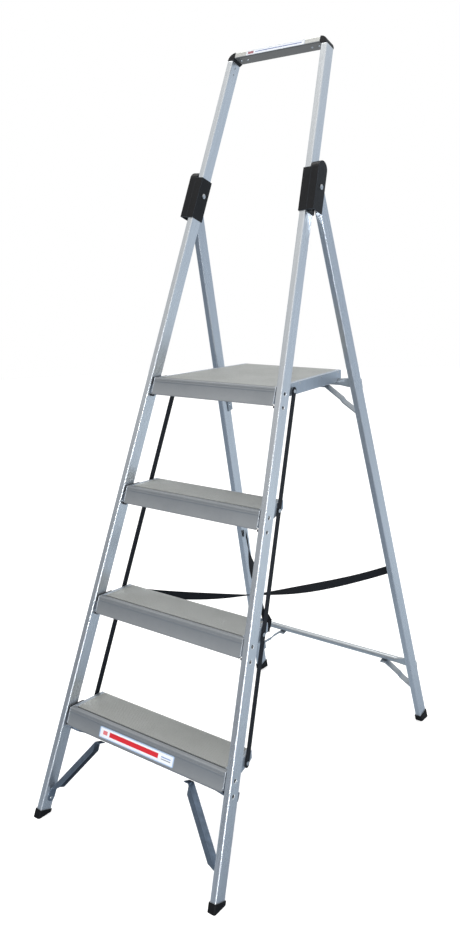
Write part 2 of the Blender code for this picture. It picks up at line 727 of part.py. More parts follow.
def crossbar(name, parent, depth, height, inner_face, radius, flat_height):
    """A round tube whose ends flatten before they reach the legs, and lie on the back of them."""
    half = inner_face + CROSSBAR_OVERLAP
    flat_start = inner_face - CROSSBAR_FLAT_REACH
    steps = 5
    flare = [flat_start - CROSSBAR_FLARE * i / steps for i in range(steps + 1)]
    stations = [half] + flare
    stations = [-x for x in stations] + stations[::-1]
    work = bmesh.new()
    skins = []
    for inset in (0.0, CROSSBAR_WALL):
        shares = [smoothstep((flat_start - abs(x)) / CROSSBAR_FLARE) for x in stations]
        sizes = (radius, flat_height)
        skins.append([flattened_ring(work, x, *sizes, share, inset) for x, share in zip(stations, shares)])
    outer, inner = skins
    strips = list(zip(outer, outer[1:])) + list(zip(inner[1:], inner))
    strips += [(inner[0], outer[0]), (outer[-1], inner[-1])]
    for ring, following in strips:
        for i in range(ROUND_SEGMENTS):
            j = (i + 1) % ROUND_SEGMENTS
            work.faces.new((ring[i], ring[j], following[j], following[i]))
    bmesh.ops.recalc_face_normals(work, faces=work.faces)
    mesh = bpy.data.meshes.new(name)
    work.to_mesh(mesh)
    work.free()
    smooth(add(name, mesh, parent, ALUMINIUM, (0, depth, height)))


def strip_outline(path, thickness):
    """The edge-on outline of a bent flat bar whose upper face follows the path."""
    sides = []
    for first, second in zip(path, path[1:]):
        run = (second - first).normalized()
        sides.append(Vector((run.y, -run.x)))
    lower = []
    for i, point in enumerate(path):
        before, after = sides[max(i - 1, 0)], sides[min(i, len(sides) - 1)]
        mitre = (before + after).normalized()
        lower.append(point + mitre * thickness / mitre.dot(after))
    return list(path) + lower[::-1]


def brace_path(head, foot, slope):
    """From under a crossbar, down across a corner with a small jog halfway, then along a leg.

    Both ends are (distance from the middle, height); slope is the leg's outward drift per drop."""
    run = (foot - head).normalized()
    aside = Vector((run.y, -run.x))
    middle = head.lerp(foot, 0.5)
    jog = [middle - run * BRACE_JOG * 1.5, middle + run * BRACE_JOG * 1.5 + aside * BRACE_JOG]
    end = foot + aside * BRACE_JOG
    tip = end + Vector((slope, -1)) * BRACE_FOOT_LENGTH
    return [head - Vector((BRACE_HEAD_LENGTH, 0)), head] + jog + [end, tip]


def knee_brace(name, side, parent, depth, width, path):
    sign = SIDES[side]
    outline = [(sign * x, y) for x, y in strip_outline(path, BRACE_THICKNESS)]
    mesh = prism(name, [outline], width, ALONG_Y)
    add(name, mesh, parent, STEEL, (0, depth, 0))


def rear_brace(name, side, drop, run, fall):
    inner = leg_centre(drop) - LEG_WIDTH / 2 / cos(SPLAY_ANGLE)
    head = Vector((inner - run, -drop - CROSSBAR_RADIUS - FIT))
    low = drop + fall
    face = leg_centre(low) - LEG_WIDTH / 2 / cos(SPLAY_ANGLE) - FIT
    foot = Vector((face, -low))
    path = brace_path(head, foot, LEG_SPLAY)
    shift = face + LEG_SPLAY * (-path[-2].y - low) - path[-2].x
    path[-2].x += shift
    path[-1].x += shift
    knee_brace(name, side, REAR, LEG_DEPTH / 2 - REAR_BRACE_INSET, REAR_BRACE_WIDTH, path)


def channel_section(work, point, aside, half, flange):
    """A ring of a pressed channel: half its width, and how far its two flanges stand off the sheet."""
    sheet = FRONT_BRACE_SHEET
    foot = sheet + flange
    corners = [(-half, 0), (half, 0), (half, foot), (half - sheet, foot), (half - sheet, sheet)]
    corners += [(sheet - half, sheet), (sheet - half, foot), (-half, foot)]
    ring = []
    for across, down in corners:
        place = point + aside * down
        ring.append(work.verts.new((place.x, across, place.y)))
    return ring


def front_brace_stations(head, foot):
    """(point, aside, share of the width, flange) from under the crossbar to the rounded end on the stile."""
    tip = foot + Vector((STILE_TAPER, -1)) * BRACE_FOOT_LENGTH
    path = [head - Vector((FRONT_BRACE_HEAD, 0)), head, foot, tip]
    asides = []
    for first, second in zip(path, path[1:]):
        run = (second - first).normalized()
        asides.append(Vector((run.y, -run.x)))
    mitres = []
    for before, after in zip(asides, asides[1:]):
        mitre = (before + after).normalized()
        mitres.append(mitre / mitre.dot(after))
    lip = FRONT_BRACE_LIP
    stations = [(path[0], asides[0], 1.0, lip), (head, mitres[0], 1.0, lip)]
    for share, height in ((0.03, lip), (0.11, 1.0), (0.86, 1.0), (0.95, lip)):
        flange = FRONT_BRACE_FLANGE if height == 1.0 else height
        stations.append((head.lerp(foot, share), asides[1], 1.0, flange))
    stations.append((foot, mitres[1], 1.0, lip))
    for back, width in ((0.40, 1.0), (0.14, 0.80), (0.0, 0.42)):
        stations.append((tip.lerp(foot, back), asides[2], width, lip))
    return stations


def front_brace(side):
    """A channel pressed from sheet, its ends left flat under the crossbar and against the stile."""
    head_height = FRONT_CROSSBAR_HEIGHT - FRONT_CROSSBAR_RADIUS - FIT
    head = Vector((stile_inner(FRONT_CROSSBAR_HEIGHT) - FRONT_BRACE_RUN, head_height))
    foot = Vector((stile_inner(FRONT_BRACE_FOOT) - FIT, FRONT_BRACE_FOOT))
    work = bmesh.new()
    rings = []
    for point, aside, width, flange in front_brace_stations(head, foot):
        rings.append(channel_section(work, point, aside, width * FRONT_BRACE_WIDTH / 2, flange))
    for ring, following in zip(rings, rings[1:]):
        for i in range(len(ring)):
            j = (i + 1) % len(ring)
            work.faces.new((ring[i], ring[j], following[j], following[i]))
    work.faces.new(rings[0])
    work.faces.new(rings[-1])
    bmesh.ops.scale(work, vec=(SIDES[side], 1, 1), verts=work.verts)
    bmesh.ops.recalc_face_normals(work, faces=work.faces)
    name = f"front_brace_{side}"
    mesh = bpy.data.meshes.new(name)
    work.to_mesh(mesh)
    work.free()
    add(name, mesh, FRONT, DARK_STEEL, (0, STILE_DEPTH - FRONT_BRACE_INSET, 0))


# ---------------------------------------------------------------- platform, treads and link bars
def plate_outline(level):
    """An end plate in (y, z) about its pivot: front edge along the stiles, a notch for the stop, and a tail."""
    depth = depth_of(level)
    rear = BOARD_FRONT + depth
    rest = PIN_RADIUS + FIT
    notch_top = -(STOP_DROP - PIN_RADIUS) + 0.0030
    points = [(BOARD_FRONT, PIVOT_DROP), leaned(LIP_U, notch_top), leaned(rest, notch_top)]
    points += [leaned(rest, -STOP_TAIL_FALL), leaned(rest + STOP_TAIL, STOP_TAIL / 3 - STOP_TAIL_FALL)]
    if level == LEVELS:
        tail_y, tail_z = points[-1]
        points.append((tail_y + tail_z * -0.5, -PLATFORM_PLATE_DROP))
        points += hook_outline(rear)
    else:
        points += [(rear - BAR_WIDTH, -END_PLATE_REAR_DROP), (rear, -END_PLATE_REAR_DROP / 2)]
    points.append((rear, PIVOT_DROP))
    slant = atan(taper_of(level))
    return [(y / cos(slant), z) for y, z in points]


def hook_outline(rear):
    """The platform end plate's lower edge: a ramp up to a half-round hook over the upper crossbar."""
    bar = rear_place(0, CROSSBAR_SETBACK, UPPER_CROSSBAR_DROP) - pivot_place(LEVELS)
    radius = CROSSBAR_RADIUS + TURNING
    normal = pi / 2 + HOOK_RAMP
    over = arc((bar.y, bar.z), radius, normal, 0, 10)
    foot_y, foot_z = over[0]
    ramp = (foot_z + PLATFORM_PLATE_DROP) / tan(HOOK_RAMP)
    heel = bar.y + radius
    corner = [(foot_y - ramp, -PLATFORM_PLATE_DROP)]
    return corner + over + [(heel, -PLATFORM_REAR_DROP), (rear, -PLATFORM_REAR_DROP)]


def end_plate(side, level):
    sign = SIDES[side]
    body = body_of(level)
    slant = atan(taper_of(level))
    holes = [arc((0, 0), PIN_RADIUS + TURNING, 0, 2 * pi, HOLE_SEGMENTS)[:-1]]
    rivet_y = RIVET_BACK / cos(slant)
    holes.append(shifted(arc((0, 0), RIVET_RADIUS + FIT, 0, 2 * pi, HOLE_SEGMENTS)[:-1], rivet_y, -RIVET_DROP))
    mesh = prism(f"{body}_end_plate_{side}", [plate_outline(level)] + holes, END_PLATE, ALONG_X)
    place = (sign * (plate_outer(level) - END_PLATE / 2), 0, 0)
    add(f"{body}_end_plate_{side}", mesh, PIVOTS[level], PLATE, place, (0, 0, sign * slant))


def board(level):
    """The walked-on extrusion between two end plates: a top, a front lip with a return, and a rear flange."""
    body = body_of(level)
    name = "platform_deck" if level == LEVELS else f"{body}_board"
    rear = BOARD_FRONT + depth_of(level)
    under = PIVOT_DROP - BOARD_TOP
    lip_foot = PIVOT_DROP - LIP_HEIGHT
    lean = tan(STILE_LEAN)

    def lip(z, inset=0.0):
        return BOARD_FRONT + lean * (z - PIVOT_DROP) + inset, z

    nose_start = lip(PIVOT_DROP - NOSE_RADIUS)
    outline = [nose_start, (BOARD_FRONT + NOSE_RADIUS * 0.25, PIVOT_DROP - NOSE_RADIUS * 0.3)]
    outline += [(BOARD_FRONT + NOSE_RADIUS, PIVOT_DROP), (rear, PIVOT_DROP)]
    outline += [(rear, PIVOT_DROP - FLANGE_DROP), (rear - BOARD_FLANGE, PIVOT_DROP - FLANGE_DROP)]
    outline += [(rear - BOARD_FLANGE, under), lip(under, LIP_WALL)]
    outline += [lip(lip_foot + LIP_WALL, LIP_WALL), lip(lip_foot + LIP_WALL, LIP_RETURN)]
    outline += [lip(lip_foot, LIP_RETURN), lip(lip_foot)]
    mesh = prism(name, [outline], 2.0, ALONG_X)
    slant = atan(taper_of(level))
    edge = plate_outer(level) - END_PLATE / cos(slant) - 2 * FIT
    for vertex in mesh.vertices:
        vertex.co.x = copysign(edge - taper_of(level) * vertex.co.y, vertex.co.x)
    smooth(add(name, mesh, PIVOTS[level], DECK))


def bar_inner(level):
    """Distance of a link bar's inner face from the middle, at this level's rivet."""
    return plate_outer(level) - TREAD_TAPER * RIVET_BACK + BAR_CLEARANCE


def link_rivet(side, level):
    """A shouldered rivet that holds an end plate at its set distance from the link bar."""
    face = plate_outer(level) - taper_of(level) * RIVET_BACK
    bar = bar_inner(level)
    slack = 2 * FIT
    outer = bar + BAR_THICKNESS / cos(TAPER_ANGLE) + slack
    tail = face - END_PLATE - slack
    head, rim = RIVET_HEAD_HEIGHT, RIVET_HEAD_RADIUS
    profile = [
        (outer + head, 0), (outer + head, rim), (outer, rim), (outer, RIVET_RADIUS),
        (bar - slack, RIVET_RADIUS), (bar - slack, RIVET_SHOULDER_RADIUS),
        (face + slack, RIVET_SHOULDER_RADIUS), (face + slack, RIVET_RADIUS),
        (tail, RIVET_RADIUS), (tail, rim), (tail - head, rim), (tail - head, 0),
    ]
    if SIDES[side] < 0:
        profile = [(-x, radius) for x, radius in reversed(profile)]
    name = f"{body_of(level)}_link_rivet_{side}"
    place = (0, RIVET_BACK, -RIVET_DROP)
    smooth(turned(name, profile, PIVOTS[level], STEEL, place, HOLE_SEGMENTS))


def link_bar(side):
    """A round-ended flat bar along the stile, drilled for the rivet of every level."""
    sign = SIDES[side]
    top = Vector((0, RIVET_BACK, -RIVET_DROP))
    hanger = axis(f"link_bar_{side}_axis", pivot_place(LEVELS) + top, -STILE_LEAN)
    falls = [up_stile(pivot_along(LEVELS) - pivot_along(level)) for level in range(1, LEVELS + 1)]
    half = BAR_WIDTH / 2
    outline = arc((0, BAR_END - half), half, 0, pi, 8)
    outline += arc((0, -falls[0] - BAR_END + half), half, pi, 2 * pi, 8)
    hole = arc((0, 0), RIVET_RADIUS + TURNING, 0, 2 * pi, HOLE_SEGMENTS)[:-1]
    holes = [shifted(hole, 0, -fall) for fall in falls]
    mesh = prism(f"link_bar_{side}", [outline] + holes, BAR_THICKNESS, ALONG_X)
    middle = bar_inner(LEVELS) + BAR_THICKNESS / 2 / cos(TAPER_ANGLE)
    place = (sign * middle, 0, 0)
    add(f"link_bar_{side}", mesh, hanger, BLACK_BAR, place, (0, -sign * TAPER_ANGLE, 0))


# ---------------------------------------------------------------- straps
def strap(side):
    """Webbing from this side's end of the second tread to the opposite leg, sagging a little between."""
    sign = SIDES[side]
    rivet = pivot_place(2) + Vector((0, RIVET_BACK + STRAP_SETBACK, -RIVET_DROP))
    start = Vector((sign * (bar_inner(2) - BAR_THICKNESS), rivet.y, rivet.z))
    drop = STRAP_LEG_DROP[side]
    leg_face = leg_centre(drop) - LEG_WIDTH / 2 - 2 * FIT - STRAP_THICKNESS
    end = rear_place(-sign * leg_face, 0, drop)
    steepness = (abs(end.z - start.z) + 4 * STRAP_SAG[side]) / (end - start).length
    end.x += sign * steepness * STRAP_WIDTH / 2
    curve = bpy.data.curves.new(f"strap_{side}", "CURVE")
    curve.dimensions = "3D"
    curve.twist_mode = "Z_UP"
    curve.extrude = STRAP_WIDTH / 2 - STRAP_THICKNESS / 2
    curve.bevel_depth = STRAP_THICKNESS / 2
    curve.bevel_resolution = 0
    curve.use_fill_caps = True
    spline = curve.splines.new("POLY")
    spline.points.add(STRAP_POINTS - 1)
    for i, point in enumerate(spline.points):
        share = i / (STRAP_POINTS - 1)
        place = start.lerp(end, share)
        place.z -= STRAP_SAG[side] * 4 * share * (1 - share)
        point.co = (*place, 1)
        point.tilt = 0
    obj = bpy.data.objects.new(f"strap_{side}", curve)
    curve.materials.append(WEBBING)
    PARTS.objects.link(obj)


# ---------------------------------------------------------------- assembly
def build():
    ground = box("ground", (-1, -1, -0.5), (1, 1, 0))
    floor = add_tool("cut_floor", ground, None)
    for side in SIDES:
        front_stile(side)
        elbow(side)
        hinge_bracket(side)
        hinge_bolt(side)
        boot(
            f"front_foot_{side}", STILES[side], STILE_WIDTH, STILE_DEPTH,
            up_stile(STILE_BOTTOM), up_stile(BOOT_HEIGHT), STILE_DEPTH / 2, floor,
        )
        front_brace(side)
        rear_leg(side)
        boot(
            f"rear_foot_{side}", LEGS[side], LEG_WIDTH, LEG_DEPTH,
            -down_leg(LEG_END), -down_leg(LEG_BOOT_TOP), 0, floor,
        )
        rear_brace(f"upper_brace_{side}", side, UPPER_CROSSBAR_DROP, UPPER_BRACE_RUN, UPPER_BRACE_FALL)
        rear_brace(f"lower_brace_{side}", side, LOWER_CROSSBAR_DROP, LOWER_BRACE_RUN, LOWER_BRACE_FALL)
        link_bar(side)
        strap(side)
        for level in range(1, LEVELS + 1):
            pivot_pin(side, level)
            end_plate(side, level)
            link_rivet(side, level)
    top_rail()
    crossbar(
        "front_crossbar", FRONT, FRONT_CROSSBAR_DEPTH, FRONT_CROSSBAR_HEIGHT,
        stile_inner(FRONT_CROSSBAR_HEIGHT), FRONT_CROSSBAR_RADIUS, FRONT_CROSSBAR_FLAT,
    )
    for name, drop in (("upper_crossbar", UPPER_CROSSBAR_DROP), ("lower_crossbar", LOWER_CROSSBAR_DROP)):
        inner_face = leg_centre(drop) - LEG_WIDTH / 2
        crossbar(name, REAR, CROSSBAR_SETBACK, -drop, inner_face, CROSSBAR_RADIUS, CROSSBAR_FLAT)
    for level in range(1, LEVELS + 1):
        board(level)


HINGE_HOLES = {side: add_tool(f"cut_hinge_hole_{side}", hinge_hole(side), FRONT) for side in SIDES}
build()
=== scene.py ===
# %% [markdown]
# # A platform step ladder, dressed around its frame
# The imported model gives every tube, plate and pin its exact place. This lesson gives them their finishes,
# adds the small pieces that sit on them, and sets a camera, a floor and soft light. It runs from top to
# bottom, and each code cell prints what it made.

import json
from math import cos, pi, radians, sin, tan

import bmesh
import bpy
from mathutils import Matrix, Vector

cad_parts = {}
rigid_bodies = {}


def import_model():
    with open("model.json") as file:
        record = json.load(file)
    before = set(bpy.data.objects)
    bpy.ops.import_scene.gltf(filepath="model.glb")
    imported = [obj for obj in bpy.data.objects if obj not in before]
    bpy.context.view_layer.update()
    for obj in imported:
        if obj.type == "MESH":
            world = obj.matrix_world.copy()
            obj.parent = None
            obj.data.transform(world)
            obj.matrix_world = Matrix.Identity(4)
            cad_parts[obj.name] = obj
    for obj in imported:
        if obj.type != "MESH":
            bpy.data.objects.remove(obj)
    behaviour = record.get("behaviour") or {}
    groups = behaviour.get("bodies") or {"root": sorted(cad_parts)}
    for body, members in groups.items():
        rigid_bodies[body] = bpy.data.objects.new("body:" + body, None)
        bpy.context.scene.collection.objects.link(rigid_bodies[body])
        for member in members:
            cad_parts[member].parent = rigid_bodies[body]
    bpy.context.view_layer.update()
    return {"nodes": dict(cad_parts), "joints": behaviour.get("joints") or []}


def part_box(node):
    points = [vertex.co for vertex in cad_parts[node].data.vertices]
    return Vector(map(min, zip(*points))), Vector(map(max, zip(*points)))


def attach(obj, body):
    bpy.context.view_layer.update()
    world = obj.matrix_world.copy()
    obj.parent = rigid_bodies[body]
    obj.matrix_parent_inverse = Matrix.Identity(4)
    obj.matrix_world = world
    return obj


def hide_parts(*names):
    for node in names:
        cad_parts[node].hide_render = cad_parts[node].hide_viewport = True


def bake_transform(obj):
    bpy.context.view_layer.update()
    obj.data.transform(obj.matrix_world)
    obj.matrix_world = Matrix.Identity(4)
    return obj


for leftover in list(bpy.data.objects):
    bpy.data.objects.remove(leftover, do_unlink=True)

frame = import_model()
nodes = frame["nodes"]
joints = {joint["name"]: joint for joint in frame["joints"]}
SIDES = {"left": -1, "right": 1}
LEVELS = ("tread_1", "tread_2", "tread_3", "platform")
BOARD_NODES = {level: f"{level}_board" for level in LEVELS[:3]} | {"platform": "platform_deck"}

# %% [markdown]
# ## Two leaning frames of reference
# The stiles lean back and the legs lean forward, so nothing on them is upright. Placing a rivet in world
# metres would mean trigonometry at every step. Instead each frame gets a matrix whose Z runs along its
# tubes and whose Y runs through their depth, and every piece is placed in those plain local metres.

# %% Local frames, worked out from the hinge axes
STILE_LEAN = radians(20.4)
LEG_LEAN = radians(14.9)
STILE_TAPER = 0.069
LEG_SPLAY = 0.066
PIVOT_DEPTH = 0.0146

pivots = {level: Vector(joints[f"{level}_swing"]["pos_m"]) for level in LEVELS}
hinge = Vector(joints["rear_frame_fold"]["pos_m"])


def along_stile(point):
    """How far up the stiles a point at the pivots' depth is."""
    return (point.z + PIVOT_DEPTH * sin(STILE_LEAN)) / cos(STILE_LEAN)


top_pivot = pivots["platform"]
foot_y = top_pivot.y - along_stile(top_pivot) * sin(STILE_LEAN) - PIVOT_DEPTH * cos(STILE_LEAN)
FRONT = Matrix.Translation((0, foot_y, 0)) @ Matrix.Rotation(-STILE_LEAN, 4, "X")
REAR = Matrix.Translation(hinge) @ Matrix.Rotation(LEG_LEAN, 4, "X")
heights = {level: along_stile(pivots[level]) for level in LEVELS}
print("pivots up the stiles:", {level: round(height, 4) for level, height in heights.items()})

# %% Faces that the small pieces sit on
STILE_WIDTH = 0.0175
STILE_DEPTH = 0.036
STILE_CENTRE_AT_FLOOR = 0.2943
LEG_WIDTH = 0.018
LEG_DEPTH = 0.036


def stile_inner(along):
    """Distance of a stile's inner face from the middle, this far up."""
    return STILE_CENTRE_AT_FLOOR - STILE_TAPER * along - STILE_WIDTH / 2


def side_line(node):
    """A board's or plate's right-hand outer edge as x = a + b * y, measured on its solid."""
    points = [vertex.co for vertex in nodes[node].data.vertices if abs(vertex.co.x) > 0.01]
    front = min(points, key=lambda p: round(p.y, 4) - abs(p.x))
    rear = max(points, key=lambda p: round(p.y, 4) + abs(p.x))
    slope = (abs(rear.x) - abs(front.x)) / (rear.y - front.y)
    return abs(front.x) - slope * front.y, slope


print("stile inner face at the floor:", round(stile_inner(0), 4))

# %% [markdown]
# ## The camera
# A portrait view from the front right, a little above the platform and looking slightly down. The lens
# shift keeps the ladder where it belongs in the tall frame without tilting the camera further.

# %% Camera
YAW, PITCH, ROLL = radians(37.729), radians(-11.094), radians(-1.463)
forward = Vector((-sin(YAW) * cos(PITCH), cos(YAW) * cos(PITCH), sin(PITCH)))
level_right = Vector((cos(YAW), sin(YAW), 0))
level_up = level_right.cross(forward)
right = level_right * cos(ROLL) + level_up * sin(ROLL)
up = level_up * cos(ROLL) - level_right * sin(ROLL)
camera_data = bpy.data.cameras.new("camera")
camera_data.lens = 33.82
camera_data.sensor_width = 36
camera_data.shift_x = -0.0009
camera_data.shift_y = -0.0385
camera = bpy.data.objects.new("camera", camera_data)
turn = Matrix((right, up, -forward)).transposed().to_4x4()
camera.matrix_world = Matrix.Translation((1.3929, foot_y - 1.3041, 1.4302)) @ turn
bpy.context.scene.collection.objects.link(camera)
bpy.context.scene.camera = camera
print("camera at", [round(c, 3) for c in camera.location])

# %% [markdown]
# ## Light and floor
# Anodised aluminium shows what stands around it, so the light is built as surroundings, not as lamps.
# A ladder outdoors mirrors a bright sky above and behind it, and darker ground and walls in front. The
# world is therefore a gradient: dim at the front horizon, bright and bluish behind, nearly white above.
# The camera itself sees plain white. One tall narrow lamp beside the camera draws the bright line along
# every rounded tube corner, because only a corner's radius turns far enough to mirror it; the tube
# finishes also paint that corner near white, a painted highlight.

# %% Surroundings that the metal mirrors
def sky_node(tree, kind, **values):
    node = tree.nodes.new(kind)
    for label, value in values.items():
        if hasattr(node, label):
            setattr(node, label, value)
        else:
            node.inputs[label.replace("_", " ")].default_value = value
    return node


world = bpy.data.worlds.new("surroundings")
bpy.context.scene.world = world
world.use_nodes = True
tree = world.node_tree
background = tree.nodes["Background"]
direction = tree.nodes.new("ShaderNodeTexCoord").outputs["Generated"]
behind = sky_node(tree, "ShaderNodeVectorMath", operation="DOT_PRODUCT")
behind.inputs[1].default_value = (0.46, 0.89, 0)
behind_share = sky_node(tree, "ShaderNodeMapRange", From_Min=-0.9, From_Max=0.75)
behind_share.interpolation_type = "SMOOTHSTEP"
horizon = sky_node(tree, "ShaderNodeMix", data_type="RGBA")
horizon.inputs["A"].default_value = (0.25, 0.275, 0.31, 1)
horizon.inputs["B"].default_value = (0.66, 0.75, 0.86, 1)
height = sky_node(tree, "ShaderNodeSeparateXYZ")
height_share = sky_node(tree, "ShaderNodeMapRange", From_Min=0.02, From_Max=0.72)
height_share.interpolation_type = "SMOOTHSTEP"
overhead = sky_node(tree, "ShaderNodeMix", data_type="RGBA")
overhead.inputs["B"].default_value = (1.02, 1.0, 0.97, 1)
seen = sky_node(tree, "ShaderNodeLightPath")
backdrop = sky_node(tree, "ShaderNodeMix", data_type="RGBA")
backdrop.inputs["B"].default_value = (1, 1, 1, 1)
for source, target in (
    (direction, behind.inputs[0]),
    (behind.outputs["Value"], behind_share.inputs["Value"]),
    (behind_share.outputs["Result"], horizon.inputs["Factor"]),
    (direction, height.inputs["Vector"]),
    (height.outputs["Z"], height_share.inputs["Value"]),
    (height_share.outputs["Result"], overhead.inputs["Factor"]),
    (horizon.outputs["Result"], overhead.inputs["A"]),
    (overhead.outputs["Result"], backdrop.inputs["A"]),
    (seen.outputs["Is Camera Ray"], backdrop.inputs["Factor"]),
    (backdrop.outputs["Result"], background.inputs["Color"]),
):
    tree.links.new(source, target)
print("surroundings ready")


# %% Lamps
def lamp(name, place, target, size, power, colour=(1, 1, 1)):
    data = bpy.data.lights.new(name, "AREA")
    data.shape = "RECTANGLE"
    data.size, data.size_y = size
    data.energy = power
    data.color = colour
    lamp_object = bpy.data.objects.new(name, data)
    lamp_object.location = place
    aim = Vector(target) - Vector(place)
    lamp_object.rotation_euler = aim.to_track_quat("-Z", "Y").to_euler()
    bpy.context.scene.collection.objects.link(lamp_object)


lamp("edge_lamp", (1.9, -2.9, 1.1), (0, 0, 1.0), (0.36, 2.6), 100)
lamp("overhead_lamp", (-0.6, 0.3, 4.2), (0, 0, 0), (2.3, 2.3), 50, (1.0, 0.99, 0.97))
print("2 lamps")

# %% Floor
work = bmesh.new()
bmesh.ops.create_circle(work, cap_ends=True, segments=96, radius=9)
floor_mesh = bpy.data.meshes.new("floor")
work.to_mesh(floor_mesh)
work.free()
floor = bpy.data.objects.new("floor", floor_mesh)
floor.location.z = -0.0006
bpy.context.scene.collection.objects.link(floor)
bpy.context.scene.view_settings.view_transform = "Standard"
print("floor, 9 m in radius")

# %% [markdown]
# ## Shader groups
# Real finishes are rarely one colour. Four effects come back on this ladder: the fine drawn lines of an
# extrusion, the rounded edges of metal and plastic, with rubbed wear on some and a painted highlight along
# them, cloudy handling marks, and the weave of webbing. Each is built once as a node group that puts out
# only values, masks and a normal, and each material wires in its own amounts.

# %% Helpers for node groups
def new_group(name, inputs, outputs):
    """A shader node group with named sockets; returns (group, nodes, link, input node, output node)."""
    group = bpy.data.node_groups.new(name, "ShaderNodeTree")
    for label, kind, value in inputs:
        socket = group.interface.new_socket(label, in_out="INPUT", socket_type=kind)
        if value is not None:
            socket.default_value = value
    for label, kind in outputs:
        group.interface.new_socket(label, in_out="OUTPUT", socket_type=kind)
    start = group.nodes.new("NodeGroupInput")
    end = group.nodes.new("NodeGroupOutput")
    return group, group.nodes, group.links.new, start, end


def math_node(tree_nodes, link, operation, first, second=None, clamp=False):
    """A Math node fed by sockets or plain numbers; returns its output."""
    node = tree_nodes.new("ShaderNodeMath")
    node.operation = operation
    node.use_clamp = clamp
    for socket, value in zip(node.inputs, (first, second)):
        if isinstance(value, (int, float)):
            socket.default_value = value
        elif value is not None:
            link(value, socket)
    return node.outputs["Value"]


def noise_node(tree_nodes, link, vector, scale, detail=3.0, roughness=0.55):
    node = tree_nodes.new("ShaderNodeTexNoise")
    node.inputs["Detail"].default_value = detail
    node.inputs["Roughness"].default_value = roughness
    link(vector, node.inputs["Vector"])
    if isinstance(scale, (int, float)):
        node.inputs["Scale"].default_value = scale
    else:
        link(scale, node.inputs["Scale"])
    return node.outputs["Fac"]


# %% Drawn lines of an extrusion
FLOAT, VECTOR = "NodeSocketFloat", "NodeSocketVector"


def build_drawn_lines():
    """Noise stretched along Z: fine die lines, with slow streaks that come and go."""
    group, tree, link, start, end = new_group(
        "drawn_lines",
        [("Vector", VECTOR, None), ("Fineness", FLOAT, 900.0)],
        [("Lines", FLOAT), ("Streaks", FLOAT)],
    )
    squeeze = tree.new("ShaderNodeVectorMath")
    squeeze.operation = "MULTIPLY"
    squeeze.inputs[1].default_value = (1, 1, 0.004)
    link(start.outputs["Vector"], squeeze.inputs[0])
    fine = noise_node(tree, link, squeeze.outputs[0], start.outputs["Fineness"], 2.0)
    slow = noise_node(tree, link, squeeze.outputs[0], 160.0, 2.0)
    link(fine, end.inputs["Lines"])
    link(slow, end.inputs["Streaks"])
    return group


def build_edge_wear_and_highlight():
    """Edge is 1 on edges, Mask is Edge broken up by noise, and Rounded Normal turns smoothly over them."""
    group, tree, link, start, end = new_group(
        "edge_wear_and_highlight",
        [("Vector", VECTOR, None), ("Width", FLOAT, 0.0015), ("Breakup", FLOAT, 260.0)],
        [("Mask", FLOAT), ("Edge", FLOAT), ("Rounded Normal", VECTOR)],
    )
    bevel = tree.new("ShaderNodeBevel")
    bevel.samples = 6
    link(start.outputs["Width"], bevel.inputs["Radius"])
    geometry = tree.new("ShaderNodeNewGeometry")
    dot = tree.new("ShaderNodeVectorMath")
    dot.operation = "DOT_PRODUCT"
    link(bevel.outputs["Normal"], dot.inputs[0])
    link(bevel.outputs["Normal"], end.inputs["Rounded Normal"])
    link(geometry.outputs["Normal"], dot.inputs[1])
    bent = math_node(tree, link, "SUBTRACT", 1.0, dot.outputs["Value"])
    strong = math_node(tree, link, "MULTIPLY", bent, 6.0, clamp=True)
    link(strong, end.inputs["Edge"])
    noise = noise_node(tree, link, start.outputs["Vector"], start.outputs["Breakup"], 4.0, 0.7)
    patchy = math_node(tree, link, "MULTIPLY_ADD", noise, 2.2)
    patchy.node.inputs[2].default_value = -0.55
    patchy.node.use_clamp = True
    link(math_node(tree, link, "MULTIPLY", strong, patchy, clamp=True), end.inputs["Mask"])
    return group


def build_handling_marks():
    """Cloudy patches, and fine dust or speckle on top of them."""
    group, tree, link, start, end = new_group(
        "handling_marks",
        [("Vector", VECTOR, None), ("Patch Scale", FLOAT, 14.0), ("Speckle Scale", FLOAT, 900.0)],
        [("Patches", FLOAT), ("Speckle", FLOAT)],
    )
    patches = noise_node(tree, link, start.outputs["Vector"], start.outputs["Patch Scale"], 5.0, 0.6)
    speckle = noise_node(tree, link, start.outputs["Vector"], start.outputs["Speckle Scale"], 2.0, 0.6)
    link(patches, end.inputs["Patches"])
    link(speckle, end.inputs["Speckle"])
    return group


DRAWN_LINES = build_drawn_lines()
EDGE_WEAR_AND_HIGHLIGHT = build_edge_wear_and_highlight()
HANDLING_MARKS = build_handling_marks()
print("groups:", [group.name for group in bpy.data.node_groups])


# %% [markdown]
# ## Finishes
# The tubes are satin anodised aluminium with die lines along their length. The boards are duller mill
# aluminium, cross-knurled on top for grip. The knee braces at the front are weathered galvanised steel.
# The corners, brackets and spacers are black moulded plastic with a faint pebble, the feet black rubber.

# %% A small material builder
def srgb(red, green, blue):
    """A colour as it looks on a screen, from 0 to 255, as linear light."""
    def linear(value):
        value = value / 255
        return value / 12.92 if value <= 0.04045 else ((value + 0.055) / 1.055) ** 2.4

    return linear(red), linear(green), linear(blue), 1.0


